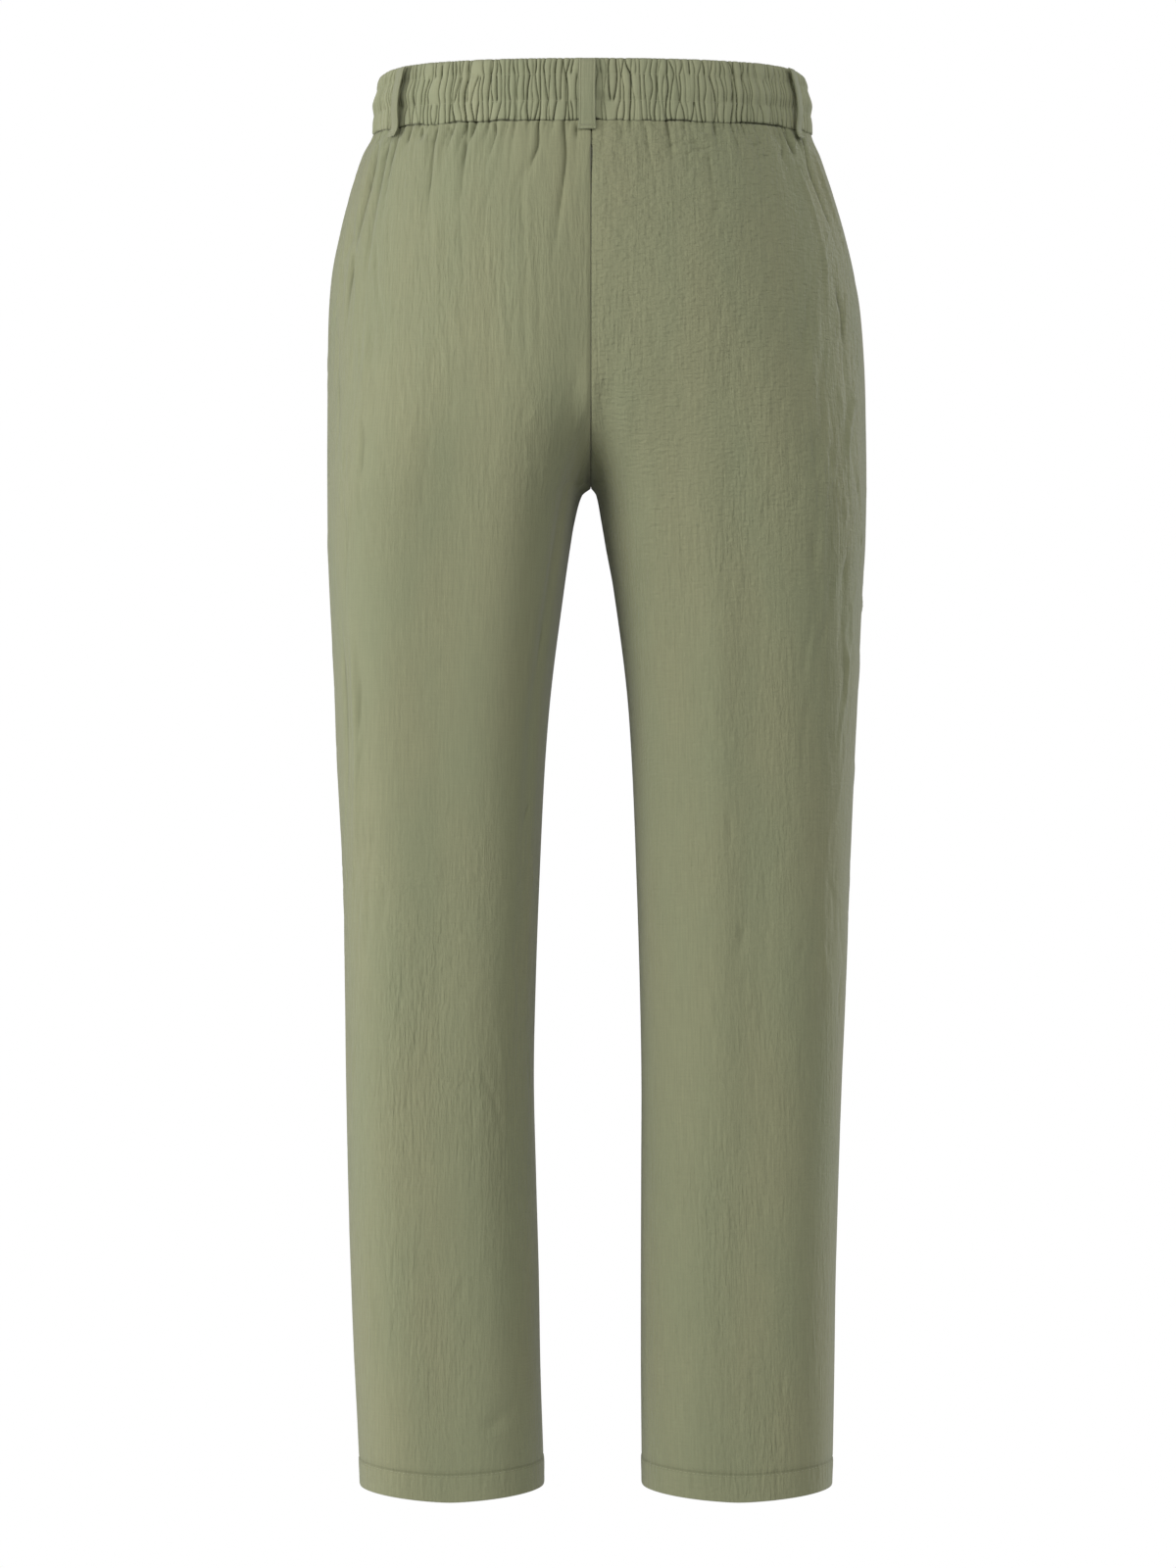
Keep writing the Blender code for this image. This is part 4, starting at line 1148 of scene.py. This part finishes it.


# The loops' linen tones are painted a little lighter than the panels', as lit strips lying over the
# band.
loop_linen = crinkled_linen("loop_linen", "#909174", "#9d9e7f", 0.3, 0.35)
for loop_number, loop in enumerate(LOOPS):
    drops = np.linspace(LOOP_LINE[0, 0], LOOP_LINE[-1, 0], LOOP_ROWS)
    stand, slackened = smooth_rows(LOOP_LINE, drops)
    stand = stand + slackened * loop.slack
    fall = (drops - drops[0]) / (drops[-1] - drops[0])
    sway = loop.lean * fall + LOOP_SWAY * np.sin(5 * fall + loop_number)
    twist = math.radians(loop.twist)
    stand = stand + LOOP_WIDTH / 2 * abs(math.sin(twist))
    centre, normal = waist_form(turn_at(girth_at(loop.turn) + sway), drops, stand)
    along = np.stack([normal[1], -normal[0]])
    along, normal = (along * math.cos(twist) - normal * math.sin(twist),
                     normal * math.cos(twist) + along * math.sin(twist))
    flare = 1 + LOOP_FLARE * between(fall, LOOP_FLARE_FROM, 1)
    closing = np.minimum(1, np.minimum(fall, 1 - fall) * 60)
    shift = LOOP_SECTION[:, 0] * LOOP_WIDTH / 2 * flare[:, None]
    rise = LOOP_SECTION[:, 1] * LOOP_WALL / 2 * closing[:, None]
    x = centre[0][:, None] + along[0][:, None] * shift + normal[0][:, None] * rise
    y = centre[1][:, None] + along[1][:, None] * shift + normal[1][:, None] * rise
    sunk = LOOP_SINK * abs(math.sin(twist)) * (1 - fall) ** 2
    height = np.broadcast_to(-(drops + sunk)[:, None], x.shape)
    around = running_length(np.hypot(
        *(np.diff(LOOP_SECTION, axis=0) * (LOOP_WIDTH / 2, LOOP_WALL / 2)).T))
    around = np.broadcast_to(around + LOOP_SPACING * loop_number, x.shape)
    strip = add_grid(f"belt_{loop.name}", np.dstack([x, y, height]),
                     np.dstack([around, height]))
    mark_points(strip, "crinkled", np.ones(x.shape))
    # Painted shade: a dark line down each folded edge of a strip.
    painted_edge_shade = (np.abs(LOOP_SECTION[:, 0]) > 0.95) & (LOOP_SECTION[:, 1] < 0.5)
    mark_points(strip, "painted_shade_amount", np.broadcast_to(painted_edge_shade * 1.5, x.shape))
    join_edges(strip, 0.00002)
    finish(strip, loop_linen)
    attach(strip, "root")
    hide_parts(loop.name)

# ---------------------------------------------------------------------------------------
# The thread: two rows of stitches round the band, one row round each hem, and the bar
# tacks at the loops' ends. It is matt cotton-polyester thread in the cloth's own colour.
# ---------------------------------------------------------------------------------------

STITCH_PITCH = 3.2
STITCH_LENGTH = 2.4
STITCH_RADIUS = 0.22

thread = bpy.data.materials.new("sewing_thread")
thread.use_nodes = True
thread_shader = thread.node_tree.nodes["Principled BSDF"]
thread_shader.inputs["Base Color"].default_value = colour("#9b9d7e")
thread_shader.inputs["Roughness"].default_value = 0.6
thread_shader.inputs["Sheen Weight"].default_value = 0.2


def add_stitches(name, starts, ends, radius):
    """Stitches between pairs of points in millimetres, each a short plump thread."""
    bpy.ops.mesh.primitive_uv_sphere_add(segments=6, ring_count=4, radius=1)
    made = bpy.context.object
    made.name = made.data.name = name
    ball = np.array([vertex.co for vertex in made.data.vertices])
    faces = [list(face.vertices) for face in made.data.polygons]
    centre, run = (starts + ends) / 2, ends - starts
    length = np.linalg.norm(run, axis=1, keepdims=True)
    forward = run / length
    beside = np.cross(forward, (0.31, 0.17, 0.93))
    beside /= np.linalg.norm(beside, axis=1, keepdims=True)
    above = np.cross(beside, forward)
    spots = (centre[:, None]
             + ball[None, :, 0:1] * radius * beside[:, None]
             + ball[None, :, 1:2] * radius * above[:, None]
             + ball[None, :, 2:3] * (length / 2)[:, None] * forward[:, None])
    every = [[place + index * len(ball) for place in face]
             for index in range(len(starts)) for face in faces]
    made.data.clear_geometry()
    made.data.from_pydata(in_metres(spots.reshape(-1, 3)).tolist(), [], every)
    finish(made, thread)
    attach(made, "root")


def along_line(line, pitch, length):
    """The starts and ends of stitches that follow a line of points."""
    arc = running_length(np.linalg.norm(np.diff(line, axis=0), axis=1))
    places = np.arange(pitch / 2, arc[-1] - pitch / 2, pitch)

    def at(where):
        return np.column_stack([np.interp(where, arc, line[:, axis]) for axis in range(3)])

    return at(places - length / 2), at(places + length / 2)


for row_number, row_drop in enumerate(ROW_DROPS):
    row_stand = smooth_rows(BAND_FACE, np.array([row_drop]))
    row_relief = band_relief(girth_places, row_drop) * (1 - row_stand[1, 0])
    row_line, _ = waist_form(band_turns, row_drop, row_stand[0, 0] + row_relief)
    row_line = np.column_stack([row_line.T, np.full(BAND_COLUMNS, -row_drop)])
    add_stitches(f"band_stitches_{row_number + 1}",
                 *along_line(row_line, STITCH_PITCH, STITCH_LENGTH), STITCH_RADIUS)

for side in ("left", "right"):
    runs = [along_line(hem_lines[part, side][3:-3], STITCH_PITCH, STITCH_LENGTH)
            for part in ("back", "front")]
    starts, ends = (np.concatenate([run[end] for run in runs]) for end in (0, 1))
    add_stitches(f"hem_stitches_{side}", starts, ends, STITCH_RADIUS)

# A bar tack is a close row of upright stitches across a loop's foot. It lies at this drop
# and at this share of the loop's lean, and each stitch reaches this far up, down and aside.
TACK_DROP = 49.2
TACK_LEAN = 0.94
TACK_SHIFTS = np.linspace(-5.0, 5.0, 15)
TACK_RISE = 0.8
TACK_SLANT = 0.4
TACK_RADIUS = 0.3

for loop in LOOPS:
    twist = math.radians(loop.twist)
    tack_stand = (smooth_rows(LOOP_LINE, np.array([TACK_DROP]))[0, 0] + LOOP_WALL / 2 + 0.1
                  + LOOP_WIDTH / 2 * abs(math.sin(twist)))
    tack_turn = turn_at(girth_at(loop.turn) + loop.lean * TACK_LEAN)
    tack, normal = waist_form(np.array([tack_turn]), TACK_DROP, tack_stand)
    along = np.array([normal[1, 0], -normal[0, 0]])
    along = along * math.cos(twist) - normal[:, 0] * math.sin(twist)
    spots = tack[:, 0] + along * TACK_SHIFTS[:, None]
    rises = np.full(len(TACK_SHIFTS), TACK_RISE)
    starts = np.column_stack([spots, rises - TACK_DROP])
    ends = np.column_stack([spots + along * TACK_SLANT, -rises - TACK_DROP])
    add_stitches(f"bar_tack_{loop.name.removeprefix('loop_')}", starts, ends, TACK_RADIUS)

# ---------------------------------------------------------------------------------------
# The eyelets. Two round holes for the drawstring, worked over with thread in the flat
# front of the band.
# ---------------------------------------------------------------------------------------

EYELET_TURN = 172.5
EYELET_STAND = 2.6
EYELET_RING = 3.4
EYELET_WALL = 1.0
EYELET_THREADS = 34

for side, turn in (("left", EYELET_TURN), ("right", -EYELET_TURN)):
    seat, normal = waist_form(np.array([math.radians(turn)]), BAND_MIDDLE, EYELET_STAND)
    bpy.ops.mesh.primitive_torus_add(
        major_segments=EYELET_THREADS * 5, minor_segments=10,
        major_radius=EYELET_RING * MM, minor_radius=EYELET_WALL * MM)
    ring = bpy.context.object
    ring.name = ring.data.name = f"worked_eyelet_{side}"
    place = np.zeros(len(ring.data.vertices) * 3)
    ring.data.vertices.foreach_get("co", place)
    place = place.reshape(-1, 3) / MM
    around = np.arctan2(place[:, 1], place[:, 0])
    spine = np.column_stack([np.cos(around), np.sin(around), around * 0]) * EYELET_RING
    place = spine + (place - spine) * (0.9 + 0.12 * np.cos(EYELET_THREADS * around))[:, None]
    place[:, 2] *= 0.75
    out = np.array([normal[0, 0], normal[1, 0], 0.0])
    along = np.array([-normal[1, 0], normal[0, 0], 0.0])
    spots = (np.array([seat[0, 0], seat[1, 0], -BAND_MIDDLE])
             + place[:, :1] * along + place[:, 1:2] * (0, 0, 1) + place[:, 2:] * out)
    ring.data.vertices.foreach_set("co", in_metres(spots).reshape(-1).astype(np.float32))
    ring.data.update()
    finish(ring, thread)
    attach(ring, "root")
    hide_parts(f"eyelet_{side}")

# ---------------------------------------------------------------------------------------
# The floor, the light and the camera. A plain white studio: large soft lights from the
# wearer's left, weaker ones from the right, and white all round.
# ---------------------------------------------------------------------------------------

bpy.ops.mesh.primitive_plane_add(size=2.6, location=(0, 0, -1.25))
floor = bpy.context.object
floor.name = "studio_floor"
floor_paint = bpy.data.materials.new("white_studio_floor")
floor_paint.use_nodes = True
floor_shader = floor_paint.node_tree.nodes["Principled BSDF"]
floor_shader.inputs["Base Color"].default_value = colour("#dededc")
floor_shader.inputs["Roughness"].default_value = 0.9
floor.data.materials.append(floor_paint)

# The backdrop shows white, but lights the cloth less than it shows.
AMBIENT = 0.04
world = bpy.data.worlds.new("white_studio")
bpy.context.scene.world = world
world.use_nodes = True
backdrop = world.node_tree
backdrop.nodes["Background"].inputs["Color"].default_value = (1, 1, 1, 1)
seen = add_node(backdrop, "ShaderNodeLightPath").outputs["Is Camera Ray"]
strength = add_node(backdrop, "ShaderNodeMapRange", {
    "Value": seen, "To Min": AMBIENT, "To Max": 1.0})
backdrop.links.new(strength.outputs["Result"], backdrop.nodes["Background"].inputs["Strength"])

# Each light's turn from behind the wearer towards the wearer's left and its height, both in
# degrees, its distance, width and height in metres, and its power in watts.
AIM = (0.0, 0.0, -0.5)
for name, turn, height, distance, width, tall, power in (
        ("key_light", 57, 9, 2.2, 1.2, 1.4, 30),
        ("left_light", 95, 12, 3.0, 1.2, 1.8, 26),
        ("high_light", 0, 45, 3.5, 1.5, 1.5, 30),
        ("fill_light", -30, 28, 3.0, 1.5, 1.5, 21),
        ("right_light", -95, 12, 3.0, 1.2, 1.8, 12),
        ("right_rim", -125, 8, 3.0, 1.0, 1.8, 30)):
    turn, height = math.radians(turn), math.radians(height)
    away = (math.sin(turn) * math.cos(height), math.cos(turn) * math.cos(height),
            math.sin(height))
    bpy.ops.object.light_add(
        type="AREA", location=[start + distance * step for start, step in zip(AIM, away)],
        rotation=(math.pi / 2 - height, 0, math.pi - turn))
    light = bpy.context.object
    light.name = name
    light.data.shape = "RECTANGLE"
    light.data.size, light.data.size_y = width, tall
    light.data.energy = power

bpy.ops.object.camera_add(location=(0.0021, 4.3, -0.4954),
                          rotation=(math.pi / 2, 0, math.pi))
camera = bpy.context.object
camera.data.sensor_width = 36
camera.data.lens = 135.2
bpy.context.scene.camera = camera
bpy.context.scene.view_settings.view_transform = "Standard"
